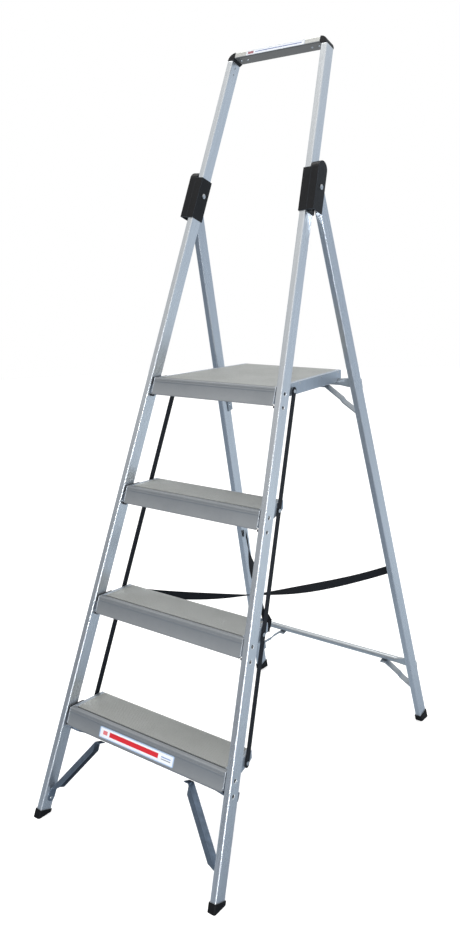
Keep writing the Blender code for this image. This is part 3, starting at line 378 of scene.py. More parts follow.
class Finish:
    """One material: its shader, and short calls that wire effects into it."""

    def __init__(self, name, colour, roughness, metallic, tilt=0.0, spread=(1, 1, 1)):
        self.material = bpy.data.materials.new(name)
        self.material.use_nodes = True
        self.tree = self.material.node_tree.nodes
        self.link = self.material.node_tree.links.new
        self.shader = self.tree["Principled BSDF"]
        self.shader.inputs["Metallic"].default_value = metallic
        self.shader.inputs["Base Color"].default_value = colour
        self.shader.inputs["Roughness"].default_value = roughness
        where = self.tree.new("ShaderNodeTexCoord")
        mapping = self.tree.new("ShaderNodeMapping")
        mapping.inputs["Rotation"].default_value = (tilt, 0, 0)
        mapping.inputs["Scale"].default_value = spread
        self.link(where.outputs["Object"], mapping.inputs["Vector"])
        self.vector = mapping.outputs["Vector"]

    def group(self, group, **values):
        node = self.tree.new("ShaderNodeGroup")
        node.node_tree = group
        self.link(self.vector, node.inputs["Vector"])
        for label, value in values.items():
            node.inputs[label.replace("_", " ")].default_value = value
        return node.outputs

    def math(self, operation, first, second=None, clamp=False):
        return math_node(self.tree, self.link, operation, first, second, clamp)

    def around(self, value, centre, swing):
        """A 0 to 1 value turned into one that swings about centre."""
        ranged = self.tree.new("ShaderNodeMapRange")
        ranged.inputs["From Min"].default_value = 0.25
        ranged.inputs["From Max"].default_value = 0.75
        ranged.inputs["To Min"].default_value = centre - swing
        ranged.inputs["To Max"].default_value = centre + swing
        self.link(value, ranged.inputs["Value"])
        return ranged.outputs["Result"]

    def tint(self, factor, base, other):
        mix = self.tree.new("ShaderNodeMix")
        mix.data_type = "RGBA"
        for label, value in (("Factor", factor), ("A", base), ("B", other)):
            socket = mix.inputs[label]
            if isinstance(value, (tuple, int, float)):
                socket.default_value = value
            else:
                self.link(value, socket)
        return mix.outputs["Result"]

    def bump(self, height, strength, distance, normal=None):
        node = self.tree.new("ShaderNodeBump")
        if normal is not None:
            self.link(normal, node.inputs["Normal"])
        node.inputs["Strength"].default_value = strength
        node.inputs["Distance"].default_value = distance
        self.link(height, node.inputs["Height"])
        self.link(node.outputs["Normal"], self.shader.inputs["Normal"])

    def use(self, colour=None, roughness=None, metallic=None):
        for label, value in (("Base Color", colour), ("Roughness", roughness), ("Metallic", metallic)):
            if value is not None:
                self.link(value, self.shader.inputs[label])
        return self.material


print("finish builder ready")


# %% Anodised tubes
PAINTED_HIGHLIGHT_WHITE = (0.96, 0.98, 1.0, 1.0)
HIGHLIGHT_METALLIC_DROP = 0.7


def anodised(name, colour, tilt, roughness=0.36, spread=(1, 1, 1), metallic=0.9, corner=0.0012, under=None):
    """Drawn tube with a rounded corner painted near white as a highlight; under is the colour of its lower
    face, painted in shade, where it has one.
    """
    finish = Finish(name, colour, roughness, metallic, tilt, spread)
    lines = finish.group(DRAWN_LINES, Fineness=1100.0)
    marks = finish.group(HANDLING_MARKS, Patch_Scale=9.0)
    edge_masks = finish.group(EDGE_WEAR_AND_HIGHLIGHT, Width=corner)
    darker = tuple(channel * 0.84 for channel in colour[:3]) + (1.0,)
    streaked = finish.tint(finish.around(lines["Streaks"], 0.6, 0.35), darker, colour)
    clouded = finish.tint(finish.around(marks["Patches"], 0.15, 0.15), streaked, darker)
    # Painted highlight: the corner mask paints the tube near white and lowers its metallic, a bright line
    # along every corner.
    edged = finish.tint(edge_masks["Edge"], clouded, PAINTED_HIGHLIGHT_WHITE)
    highlight_metallic_cut = finish.math("MULTIPLY", edge_masks["Edge"], -HIGHLIGHT_METALLIC_DROP * metallic)
    finish.link(finish.math("ADD", highlight_metallic_cut, metallic), finish.shader.inputs["Metallic"])
    # Painted shade: faces that point down are painted in the darker under colour.
    if under:
        split = finish.tree.new("ShaderNodeSeparateXYZ")
        finish.link(finish.tree.new("ShaderNodeNewGeometry").outputs["Normal"], split.inputs["Vector"])
        downward = finish.math("LESS_THAN", split.outputs["Z"], -0.5)
        edged = finish.tint(downward, edged, under)
    smudged = finish.around(marks["Patches"], 0, 0.05)
    rough = finish.math("ADD", smudged, finish.around(lines["Lines"], roughness, 0.06))
    finish.bump(lines["Lines"], 0.12, 0.0002, edge_masks["Rounded Normal"])
    return finish.use(edged, rough)


STILE_METAL = anodised("anodised_stile", srgb(204, 209, 214), STILE_LEAN, 0.30, corner=0.0034)
LEG_METAL = anodised("anodised_leg", srgb(186, 192, 199), -LEG_LEAN, 0.30, corner=0.0030)
RAIL_ALONG = (0.004, 1, 250)
# Painted shade for the rail's downward faces.
RAIL_PAINTED_SHADE = srgb(112, 108, 104)
RAIL_METAL = anodised("anodised_rail", srgb(198, 200, 198), STILE_LEAN, 0.32, RAIL_ALONG, under=RAIL_PAINTED_SHADE)
BAR_METAL = anodised("drawn_crossbar", srgb(178, 184, 189), 0.0, roughness=0.34)
PLATE_METAL = anodised("pressed_plate", srgb(168, 177, 187), 0.0, roughness=0.42, metallic=0.8)
print("anodised finishes ready")


# %% Mill aluminium for the boards
def mill_board(name, colour, knurled):
    """Dull aluminium. The knurling is a row of nicks across the ribs, one every few millimetres."""
    finish = Finish(name, colour, 0.5, 0.72)
    marks = finish.group(HANDLING_MARKS, Patch_Scale=7.0, Speckle_Scale=1400.0)
    edge_masks = finish.group(EDGE_WEAR_AND_HIGHLIGHT, Width=0.0010)
    darker = tuple(channel * 0.72 for channel in colour[:3]) + (1.0,)
    lighter = tuple(min(channel * 1.3, 1) for channel in colour[:3]) + (1.0,)
    clouded = finish.tint(finish.around(marks["Patches"], 0.4, 0.4), colour, darker)
    grained = finish.tint(finish.around(marks["Speckle"], 0.18, 0.18), clouded, lighter)
    # Lighter edges: partly rubbed wear, partly a painted highlight, broken up by noise.
    edged = finish.tint(edge_masks["Mask"], grained, lighter)
    smudged = finish.around(marks["Patches"], 0, 0.08)
    rough = finish.math("ADD", smudged, finish.around(marks["Speckle"], 0.5, 0.05))
    if knurled:
        split = finish.tree.new("ShaderNodeSeparateXYZ")
        finish.link(finish.vector, split.inputs["Vector"])
        wave = finish.math("SINE", finish.math("MULTIPLY", split.outputs["X"], 2 * pi / KNURL_PITCH))
        nick = finish.math("GREATER_THAN", wave, 0.55)
        # The nicks are also painted darker, a painted shade in the knurl grooves.
        edged = finish.tint(finish.math("MULTIPLY", nick, 0.35), edged, darker)
        finish.bump(finish.math("MULTIPLY", nick, -1.0), 0.5, 0.0006)
    else:
        finish.bump(marks["Speckle"], 0.15, 0.0003)
    return finish.use(edged, rough)


KNURL_PITCH = 0.0042
BOARD_TOP_METAL = mill_board("knurled_board_top", srgb(176, 178, 176), True)
BOARD_FACE_METAL = mill_board("mill_board_face", srgb(143, 147, 151), False)
# Painted shade: the groove behind the nosing is painted dark, as the shade inside it.
GROOVE_PAINTED_SHADE = mill_board("board_groove_painted_shade", srgb(52, 58, 66), False)
print("board finishes ready")


# %% Steels
def steel(name, colour, roughness, metallic, patch_scale, spangle):
    finish = Finish(name, colour, roughness, metallic)
    marks = finish.group(HANDLING_MARKS, Patch_Scale=patch_scale, Speckle_Scale=700.0)
    edge_masks = finish.group(EDGE_WEAR_AND_HIGHLIGHT, Width=0.0008)
    darker = tuple(channel * (1 - spangle) for channel in colour[:3]) + (1.0,)
    lighter = tuple(min(channel * 1.5, 1) for channel in colour[:3]) + (1.0,)
    clouded = finish.tint(finish.around(marks["Patches"], 0.5, 0.5), colour, darker)
    # Lighter edges: partly rubbed wear, partly a painted highlight, broken up by noise.
    edged = finish.tint(edge_masks["Mask"], clouded, lighter)
    finish.bump(marks["Speckle"], 0.1, 0.0002)
    return finish.use(edged, finish.around(marks["Patches"], roughness, 0.08))


ZINC = steel("zinc_plated_steel", srgb(186, 190, 194), 0.30, 1.0, 60.0, 0.2)
BLACKENED = steel("blackened_pin_steel", srgb(38, 41, 46), 0.50, 0.6, 60.0, 0.3)
BRACE_METAL = steel("brace_steel", srgb(158, 166, 174), 0.40, 0.85, 40.0, 0.25)
GALVANISED = steel("weathered_galvanised_steel", srgb(122, 134, 148), 0.34, 0.85, 55.0, 0.4)
print("steels ready")


# %% Plastics, rubber and the black bar
def moulded(name, colour, roughness, pebble_scale, pebble, edge, shine):
    """Black moulding: a pebbled skin, with a painted highlight of the edge colour along its edges, broken up
    by noise.
    """
    finish = Finish(name, colour, roughness, 0.0)
    marks = finish.group(HANDLING_MARKS, Patch_Scale=22.0, Speckle_Scale=pebble_scale)
    edge_masks = finish.group(EDGE_WEAR_AND_HIGHLIGHT, Width=0.0014, Breakup=420.0)
    dusty = tuple(channel * 1.6 + 0.003 for channel in colour[:3]) + (1.0,)
    clouded = finish.tint(finish.around(marks["Patches"], 0.3, 0.3), colour, dusty)
    # Painted highlight: edges are tinted towards the edge colour.
    edged = finish.tint(finish.math("MULTIPLY", edge_masks["Mask"], 0.7), clouded, edge)
    finish.bump(marks["Speckle"], pebble, 0.0004, edge_masks["Rounded Normal"])
    finish.shader.inputs["Specular IOR Level"].default_value = shine
    return finish.use(edged, finish.around(marks["Patches"], roughness, 0.07))


# The second colour of each is its painted edge highlight.
PLASTIC = moulded("black_moulded_plastic", srgb(17, 18, 20), 0.42, 1500.0, 0.35, srgb(92, 102, 114), 0.16)
RUBBER = moulded("black_rubber", srgb(11, 12, 14), 0.60, 800.0, 0.3, srgb(46, 48, 52), 0.12)
BLACK_BAR = moulded("black_coated_bar", srgb(10, 13, 19), 0.45, 1200.0, 0.15, srgb(50, 58, 70), 0.14)
print("plastics ready")

# %% [markdown]
# ## Webbing and labels
# The straps are flat woven polyester: diagonal ribs a few millimetres apart, with every other thread
# standing a little higher. Two sine waves across each other give that relief. The labels are plain vinyl,
# white with a thin border and one band of colour, laid out in the label's own 0 to 1 coordinates.

# %% Webbing
def build_weave():
    """A twill relief from two crossing waves along the Object X and Z directions."""
    group, tree, link, start, end = new_group(
        "twill_weave",
        [("Vector", VECTOR, None), ("Thread", FLOAT, 0.0016)],
        [("Height", FLOAT)],
    )
    split = tree.new("ShaderNodeSeparateXYZ")
    link(start.outputs["Vector"], split.inputs["Vector"])
    per_thread = math_node(tree, link, "DIVIDE", 2 * pi, start.outputs["Thread"])
    run = math_node(tree, link, "ADD", split.outputs["X"], split.outputs["Y"])
    rising = math_node(tree, link, "ADD", run, split.outputs["Z"])
    falling = math_node(tree, link, "SUBTRACT", run, split.outputs["Z"])
    first = math_node(tree, link, "MULTIPLY", rising, per_thread)
    second = math_node(tree, link, "MULTIPLY", falling, per_thread)
    ribs = math_node(tree, link, "MULTIPLY", math_node(tree, link, "SINE", first), 0.35)
    threads = math_node(tree, link, "MULTIPLY", math_node(tree, link, "SINE", second), 0.2)
    crossed = math_node(tree, link, "ADD", ribs, threads)
    link(math_node(tree, link, "ADD", crossed, 0.5), end.inputs["Height"])
    return group


TWILL_WEAVE = build_weave()
webbing_finish = Finish("black_webbing", srgb(13, 15, 18), 0.85, 0.0)
weave = webbing_finish.group(TWILL_WEAVE, Thread=0.0020)
webbing_fuzz = webbing_finish.group(HANDLING_MARKS, Patch_Scale=30.0, Speckle_Scale=2500.0)
woven = webbing_finish.tint(weave["Height"], srgb(9, 10, 13), srgb(34, 38, 44))
woven = webbing_finish.tint(webbing_finish.around(webbing_fuzz["Patches"], 0.2, 0.2), woven, srgb(30, 31, 33))
webbing_finish.bump(weave["Height"], 0.6, 0.0006)
webbing_finish.shader.inputs["Specular IOR Level"].default_value = 0.12
WEBBING = webbing_finish.use(woven, webbing_finish.around(webbing_fuzz["Speckle"], 0.85, 0.08))
print("webbing ready")


# %% Labels
INSIDE_BORDER = (0.012, 0.988, 0.09, 0.91)


def step_mask(finish, value, low, high):
    """1 where low < value < high."""
    above = finish.math("GREATER_THAN", value, low)
    below = finish.math("LESS_THAN", value, high)
    return finish.math("MULTIPLY", above, below)


def rectangle_mask(finish, across, up_label, x_from, x_to, z_from, z_to):
    wide = step_mask(finish, across, x_from, x_to)
    return finish.math("MULTIPLY", wide, step_mask(finish, up_label, z_from, z_to))


def label_finish(name, border, bands):
    """White vinyl with a border line and plain bands: (x from, x to, z from, z to, colour)."""
    finish = Finish(name, (0.8, 0.8, 0.8, 1), 0.35, 0.0)
    own = finish.tree.new("ShaderNodeTexCoord")
    split = finish.tree.new("ShaderNodeSeparateXYZ")
    finish.link(own.outputs["Generated"], split.inputs["Vector"])
    across, up_label = split.outputs["X"], split.outputs["Z"]
    marks = finish.group(HANDLING_MARKS, Patch_Scale=30.0)
    colour = finish.tint(finish.around(marks["Patches"], 0.3, 0.3), srgb(226, 228, 232), srgb(206, 210, 216))
    colour = finish.tint(rectangle_mask(finish, across, up_label, *INSIDE_BORDER), border, colour)
    for *extent, band_colour in bands:
        colour = finish.tint(rectangle_mask(finish, across, up_label, *extent), colour, band_colour)
    finish.bump(marks["Speckle"], 0.05, 0.0002)
    return finish.use(colour, finish.around(marks["Patches"], 0.38, 0.08))


RED, BLUE, GREY = srgb(196, 34, 44), srgb(120, 146, 190), srgb(120, 124, 134)
TREAD_LABEL = label_finish(
    "tread_label", srgb(158, 180, 208),
    (
        (0.05, 0.11, 0.34, 0.70, srgb(206, 112, 116)), (0.14, 0.80, 0.30, 0.74, RED),
        (0.84, 0.96, 0.52, 0.62, BLUE), (0.84, 0.96, 0.34, 0.42, GREY),
    ),
)
RAIL_LABEL = label_finish(
    "rail_label", srgb(200, 206, 214),
    ((0.03, 0.13, 0.22, 0.78, srgb(150, 96, 104)), (0.16, 0.95, 0.42, 0.60, srgb(96, 112, 160))),
)
print("labels ready")


# %% [markdown]
# ## Dressing the frame's own pieces
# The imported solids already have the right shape, so they keep it and take a finish. Real pieces never
# have knife edges: the rounded normal in each finish softens them without touching the solid.

# %% Finish every frame node
def dress(obj, material):
    obj.data.materials.clear()
    obj.data.materials.append(material)
    for face in obj.data.polygons:
        face.material_index = 0


FINISH_OF = (
    ("front_stile", STILE_METAL), ("rear_leg", LEG_METAL), ("top_rail", RAIL_METAL),
    ("front_crossbar", GALVANISED), ("crossbar", BAR_METAL), ("end_plate", PLATE_METAL),
    ("front_brace", GALVANISED), ("brace", BRACE_METAL), ("elbow", PLASTIC), ("hinge_bracket", PLASTIC),
    ("foot", RUBBER), ("link_bar", BLACK_BAR), ("bolt", ZINC), ("pin", BLACKENED), ("rivet", ZINC),
    ("board", BOARD_FACE_METAL), ("deck", BOARD_FACE_METAL), ("strap", BLACK_BAR),
)
for name, obj in nodes.items():
    dress(obj, next(material for word, material in FINISH_OF if word in name))
print("dressed", len(nodes), "nodes")


# %% [markdown]
# ## Building new pieces
# Everything small is either an outline given a thickness or a turned profile, so two helpers cover
# nearly all of it. Both build a plain mesh with bmesh, place it with a matrix and make it ride on the
# body that carries it.

# %% Piece helpers
def place_piece(name, mesh, material, body, matrix=None, smooth_angle=32):
    """A new piece from this mesh, riding on the body; a piece with no body is left unparented."""
    obj = bpy.data.objects.new(name, mesh)
    bpy.context.scene.collection.objects.link(obj)
    if matrix is not None:
        mesh.transform(matrix)
    mesh.materials.append(material)
    mesh.shade_smooth()
    mesh.set_sharp_from_angle(angle=radians(smooth_angle))
    if body:
        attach(obj, body)
    return obj


def mesh_of(work, name):
    """The bmesh as a mesh, with its faces turned outwards."""
    bmesh.ops.recalc_face_normals(work, faces=work.faces)
    mesh = bpy.data.meshes.new(name)
    work.to_mesh(mesh)
    work.free()
    return mesh


def skinned(sections, name):
    """A closed body through sections that have the same number of points."""
    work = bmesh.new()
    rings = [[work.verts.new(point) for point in section] for section in sections]
    count = len(rings[0])
    for ring, following in zip(rings, rings[1:]):
        for i in range(count):
            j = (i + 1) % count
            work.faces.new((ring[i], ring[j], following[j], following[i]))
    work.faces.new(rings[0])
    work.faces.new(rings[-1])
    return mesh_of(work, name)


def slab(outline, low, high, name="slab"):
    """An outline in (y, z) extruded from x = low to x = high. low and high may be functions of (y, z)."""
    work = bmesh.new()
    low_at = low if callable(low) else lambda y, z: low
    high_at = high if callable(high) else lambda y, z: high
    near = [work.verts.new((low_at(y, z), y, z)) for y, z in outline]
    far = [work.verts.new((high_at(y, z), y, z)) for y, z in outline]
    count = len(outline)
    for i in range(count):
        j = (i + 1) % count
        work.faces.new((near[i], near[j], far[j], far[i]))
    work.faces.new(near[::-1])
    work.faces.new(far)
    return mesh_of(work, name)


def turned(profile, name="turned", segments=24):
    """A profile of (height, radius) turned about Z."""
    work = bmesh.new()
    rings = []
    for height, radius in profile:
        if radius == 0:
            rings.append([work.verts.new((0, 0, height))])
            continue
        angles = [2 * pi * i / segments for i in range(segments)]
        rings.append([work.verts.new((radius * cos(a), radius * sin(a), height)) for a in angles])
    for lower, upper in zip(rings, rings[1:]):
        for i in range(segments):
            j = (i + 1) % segments
            below = [lower[i % len(lower)], lower[j % len(lower)]]
            above = [upper[j % len(upper)], upper[i % len(upper)]]
            corners = list(dict.fromkeys(below + above))
            if len(corners) > 2:
                work.faces.new(corners)
    return mesh_of(work, name)


def facing(direction, place):
    """A matrix whose Z looks along direction, at place."""
    turn = Vector(direction).to_track_quat("Z", "Y").to_matrix().to_4x4()
    return Matrix.Translation(Vector(place)) @ turn


def rivet_profile(radius, height, sunk=0.002):
    """A domed head on a short shank that sinks into what it holds."""
    steps = 5
    dome = [(height * sin(pi / 2 * i / steps), radius * cos(pi / 2 * i / steps)) for i in range(steps)]
    return [(-sunk, 0), (-sunk, radius * 0.55), (0, radius * 0.55)] + dome + [(height, 0)]


print("piece helpers ready")

# %% [markdown]
# ## Ribbed boards
# The platform and treads are extrusions, so their detail is all in one profile: a plain nosing, a groove
# behind it, then fine ribs to the rear edge, with a deep lip that leans with the stiles and a bead along
# its top. Extruding one outline, and letting its ends follow the end plates, gives every rib real edges.

# %% The board profile
RIB_PITCH = 0.0046
RIB_HEIGHT = 0.0009
NOSING = 0.0105
GROOVE_WIDTH = 0.0048
GROOVE_DEPTH = 0.0024
BOARD_TOP = 0.0030
LIP_WALL = 0.0022
LIP_RETURN = 0.0080
BEAD_DROP = 0.0062
FLANGE = 0.0022
FLANGE_DROP = 0.0200
LEVEL_TOLERANCE = 0.0001
WEB_HEIGHT, WEB_WALL = 0.014, 0.0018
WEB_TOE, WEB_TOE_THICKNESS = 0.006, 0.002
SEAM_DEPTH = 0.0020
SEAM_SHARES = (0.36, 0.68)
WEB_SHARES = (0.26, 0.44, 0.62, 0.80)


def lip_face(front, top, lean, lip_height):
    """The lip's front from its foot up to the nosing: a hem, a plain face, a bead and a shadow line."""
    def at(drop, out=0.0):
        return front - lean * drop - out, top - drop

    points = [at(lip_height, -0.0010), at(lip_height - 0.0008), at(lip_height - 0.0040)]
    points += [at(lip_height - 0.0048, -0.0006), at(BEAD_DROP + 0.0052, -0.0006), at(BEAD_DROP + 0.0042)]
    points += [at(BEAD_DROP + 0.0022, 0.0003), at(BEAD_DROP + 0.0004), at(BEAD_DROP, -0.0012)]
    points += [at(BEAD_DROP - 0.0012, -0.0012), at(BEAD_DROP - 0.0016, -0.0001)]
    points += [at(0.0022, 0.0), at(0.0007, -0.0006), at(0.0, -0.0020)]
    return points


def ribbed_top(front, rear, top, seams=()):
    """Ribs from behind the nosing to the rear, with a wider groove at each seam between planks."""
    points = [(front + NOSING, top), (front + NOSING + 0.0003, top - GROOVE_DEPTH)]
    y = front + NOSING + GROOVE_WIDTH
    points.append((y, top - GROOVE_DEPTH))
    while y + RIB_PITCH < rear - 0.004:
        points += [(y + 0.0004, top), (y + 0.0026, top), (y + 0.0030, top - RIB_HEIGHT)]
        if any(abs(y - seam) < RIB_PITCH / 2 for seam in seams):
            points += [(y + 0.0033, top - SEAM_DEPTH), (y + RIB_PITCH - 0.0002, top - SEAM_DEPTH)]
        y += RIB_PITCH
        points.append((y, top - RIB_HEIGHT))
    points += [(y + 0.0004, top), (rear - 0.0006, top), (rear, top - 0.0006)]
    return points


def board_outline(low, high, front, lean, webs=(), seams=()):
    top, rear = high.z, high.y
    lip_height = top - low.z
    under = top - BOARD_TOP
    points = lip_face(front, top, lean, lip_height) + ribbed_top(front, rear, top, seams)
    points += [(rear, top - FLANGE_DROP), (rear - FLANGE, top - FLANGE_DROP), (rear - FLANGE, under)]
    web_foot, web_toe = under - WEB_HEIGHT, under - WEB_HEIGHT + WEB_TOE_THICKNESS
    for web in sorted(webs, reverse=True):
        points += [(web, under), (web, web_foot), (web - WEB_TOE, web_foot)]
        points += [(web - WEB_TOE, web_toe), (web - WEB_WALL, web_toe), (web - WEB_WALL, under)]
    inner = front + LIP_WALL
    points += [(inner - lean * BOARD_TOP, under)]
    foot = lip_height - LIP_WALL
    points += [(inner - lean * foot, top - foot), (front + LIP_RETURN - lean * foot, top - foot)]
    points += [(front + LIP_RETURN - lean * lip_height, low.z)]
    return points


def on_top(face, top):
    """Whether this face belongs to the walked-on side, rather than to the board's ends or underside."""
    return face.center.z > top - GROOVE_DEPTH - LEVEL_TOLERANCE and abs(face.normal.x) < 0.5


def build_board(level):
    """A detailed board in place of the frame's plain one."""
    node = BOARD_NODES[level]
    low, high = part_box(node)
    lean = tan(STILE_LEAN)
    front = low.y + lean * (high.z - low.z)
    depth = high.y - front
    webs, seams = (), ()
    if level == "platform":
        seams = tuple(front + depth * share for share in SEAM_SHARES)
        webs = tuple(front + depth * share for share in WEB_SHARES)
    outline = board_outline(low, high, front, lean, webs, seams)
    base, slope = side_line(node)
    mesh = slab(outline, lambda y, z: -(base + slope * y), lambda y, z: base + slope * y, node)
    obj = place_piece(f"{level}_ribbed_board", mesh, BOARD_FACE_METAL, level, smooth_angle=28)
    mesh.materials.append(BOARD_TOP_METAL)
    mesh.materials.append(GROOVE_PAINTED_SHADE)
    groove_from, groove_to = front + NOSING, front + NOSING + GROOVE_WIDTH
    for face in mesh.polygons:
        if face.center.y > groove_to and on_top(face, high.z):
            face.material_index = 1
        elif groove_from < face.center.y < groove_to and on_top(face, high.z):
            # Groove faces get the dark painted shade material.
            face.material_index = 2
    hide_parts(node)
    return len(outline), base, slope


BOARD_SIDE = {}
for level in LEVELS:
    count, base, slope = build_board(level)
    BOARD_SIDE[level] = (base, slope)
    print(f"{level}: outline of {count} points, sides x = {base:.4f} + {slope:.4f} y")

# %% Folded edges of the end plates, lying on the boards
STRIP_WIDTH = 0.0078
STRIP_PROUD = 0.0003
for level in LEVELS:
    base, slope = BOARD_SIDE[level]
    low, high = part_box(BOARD_NODES[level])
    front = low.y + tan(STILE_LEAN) * (high.z - low.z) + NOSING + 0.0026
    top, rear = high.z + STRIP_PROUD, high.y - 0.0005
    outline = [(front, top - 0.0030), (rear, top - 0.0030), (rear, top - 0.0005), (rear - 0.0005, top)]
    outline += [(front + 0.0005, top), (front, top - 0.0005)]
    for side, sign in SIDES.items():
        inner_edge = lambda y, z: sign * (base + slope * y - STRIP_WIDTH)
        outer_edge = lambda y, z: sign * (base + slope * y)
        strip = slab(outline, inner_edge, outer_edge, "folded_edge")
        place_piece(f"{level}_folded_edge_{side}", strip, PLATE_METAL, level)
print("8 folded edges")

# %% Labels on the lowest tread and on the guard rail
LABEL_THICKNESS = 0.0003


def arc_points(centre, radius, start, end, steps):
    turns = (start + (end - start) * i / steps for i in range(steps + 1))
    return [(centre[0] + radius * cos(turn), centre[1] + radius * sin(turn)) for turn in turns]


def label_mesh(x_from, x_to, low, high, corner, name):
    """A thin sheet with round corners, in x and z, its front at y = -LABEL_THICKNESS."""
    work = bmesh.new()
    centres = ((x_to, high, 0), (x_from, high, 1), (x_from, low, 2), (x_to, low, 3))
    outline = []
    for x, z, quarter in centres:
        middle = (x - corner * (1 if x == x_to else -1), z - corner * (1 if z == high else -1))
        outline += arc_points(middle, corner, quarter * pi / 2, (quarter + 1) * pi / 2, 4)
    front = [work.verts.new((x, -LABEL_THICKNESS, z)) for x, z in outline]
    back = [work.verts.new((x, 0, z)) for x, z in outline]
    for i in range(len(outline)):
        j = (i + 1) % len(outline)
        work.faces.new((front[i], front[j], back[j], back[i]))
    work.faces.new(front)
    work.faces.new(back[::-1])
    return mesh_of(work, name)


low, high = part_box("tread_1_board")
lip_top = Vector((0, low.y + tan(STILE_LEAN) * (high.z - low.z), high.z))
on_lip = Matrix.Translation(lip_top + Vector((0, 0.0006, 0))) @ Matrix.Rotation(-STILE_LEAN, 4, "X")
mesh = label_mesh(-0.142, 0.108, -0.0405, -0.0135, 0.003, "tread_label")
place_piece("tread_1_label", mesh, TREAD_LABEL, "tread_1", on_lip)
mesh = label_mesh(-0.098, 0.090, 2.0995, 2.1125, 0.001, "rail_label")
on_rail = FRONT @ Matrix.Translation((0, -0.0001, 0))
place_piece("rail_label", mesh, RAIL_LABEL, "front_frame", on_rail)
print("2 labels")

# %% [markdown]
# ## Plates, spacers, screws and stops
# An end plate closes each end of a board. Between it and the stile sits a black plastic spacer, which
# keeps metal off metal as the board swings. Self-tapping screws hold the plates, and a short steel stop
# below each pivot carries the board's weight when it is down.

# %% Spacers beside the end plates
PLATE_THICKNESS = 0.0025
PLATE_AIR = 0.0006
SPACER_THICKNESS = 0.0046


def plate_face(level, y):
    """Distance from the middle of an end plate's outer face at this y."""
    base, slope = BOARD_SIDE[level]
    return base + slope * y + PLATE_THICKNESS + PLATE_AIR


def spacer_outline(pivot, top):
    """A strip along the plate's top edge that drops to a round boss about the pivot."""
    outline = arc_points((pivot.y, pivot.z), 0.0072, pi, 2 * pi, 10)
    outline += [(pivot.y + 0.0082, pivot.z + 0.0030), (pivot.y + 0.0385, pivot.z + 0.0045)]
    outline += arc_points((pivot.y + 0.0385, pivot.z + 0.0085), 0.0040, -pi / 2, 0, 4)
    outline += [(pivot.y + 0.0425, top + 0.0004), (pivot.y - 0.0035, top + 0.0004)]
    return outline


for level in LEVELS:
    pivot = pivots[level]
    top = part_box(BOARD_NODES[level])[1].z
    for side, sign in SIDES.items():
        near = lambda y, z: sign * plate_face(level, y)
        far = lambda y, z: sign * (plate_face(level, y) + SPACER_THICKNESS)
        mesh = slab(spacer_outline(pivot, top), near, far, "spacer")
        place_piece(f"{level}_spacer_{side}", mesh, PLASTIC, level)
print("8 spacers")

# %% End plate screws
SCREW_DROP = 0.0058
SCREW_HEAD_RADIUS = 0.0030
SCREW_HEAD_HEIGHT = 0.0016
SCREWS = {"platform": (0.119, 0.240, 0.342), "tread_1": (0.066,), "tread_2": (0.066,), "tread_3": (0.066,)}


screws = 0
for level, distances in SCREWS.items():
    pivot = pivots[level]
    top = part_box(BOARD_NODES[level])[1].z
    for side, sign in SIDES.items():
        for number, distance in enumerate(distances, 1):
            y = pivot.y + distance
            matrix = facing((sign, 0, 0), (sign * plate_face(level, y), y, top - SCREW_DROP))
            name = f"{level}_plate_screw_{side}_{number}"
            mesh = turned(rivet_profile(SCREW_HEAD_RADIUS, SCREW_HEAD_HEIGHT), "screw")
            place_piece(name, mesh, ZINC, level, matrix)
            screws += 1
print(screws, "screws")

# %% Stop pins
STOP_DROP = 0.0344
STOP_RADIUS = 0.0029
STILE_WALL = 0.0016
for level in LEVELS:
    along = heights[level] - STOP_DROP
    plate_inner = plate_face(level, pivots[level].y) - PLATE_THICKNESS
    for side, sign in SIDES.items():
        head = stile_inner(along) + STILE_WALL + 0.0005
        length = head - plate_inner
        profile = [(0, 0), (0, STOP_RADIUS * 0.85), (0.0004, STOP_RADIUS), (length, STOP_RADIUS)]
        profile += [(length, 0.0042), (length + 0.0012, 0.0042), (length + 0.0012, 0)]
        start = FRONT @ Vector((sign * plate_inner, PIVOT_DEPTH, along))
        mesh = turned(profile, "stop_pin")
        outward = facing((sign, 0, 0), start)
        place_piece(f"{level}_stop_pin_{side}", mesh, BLACKENED, "front_frame", outward)
print("8 stop pins")

# %% [markdown]
# ## Rivets and bolts
# Blind rivets hold the corner mouldings and the braces, and show as small domes. Each is turned from a
# short profile and sunk a little into its tube, so no gap shows under its head.

# %% Rivets
def rivet(name, body, matrix, place, direction, radius=0.0030, height=0.0012):
    where = matrix @ Vector(place)
    aim = matrix.to_3x3() @ Vector(direction)
    mesh = turned(rivet_profile(radius, height), "rivet")
    place_piece(name, mesh, ZINC, body, facing(aim, where))


RAIL_UNDERSIDE = 2.098
RAIL_END = stile_inner(RAIL_UNDERSIDE) - 0.0055
for side, sign in SIDES.items():
    for number, along in enumerate((2.078, 2.060), 1):
        place = (sign * stile_inner(along), STILE_DEPTH / 2, along)
        rivet(f"elbow_stile_rivet_{side}_{number}", "front_frame", FRONT, place, (-sign, 0, 0))
    for number, inset in enumerate((0.010, 0.032), 1):
        place = (sign * (RAIL_END - inset), STILE_DEPTH / 2, RAIL_UNDERSIDE)
        rivet(f"elbow_rail_rivet_{side}_{number}", "front_frame", FRONT, place, (0, 0, -1))
print("8 elbow rivets")


def leg_centre(drop):
    """Distance of a leg's centre line from the middle, this far down from the hinge."""
    low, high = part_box("rear_leg_right")
    return high.x - LEG_WIDTH / 2 - LEG_SPLAY * (LEG_FOOT_DROP - drop)


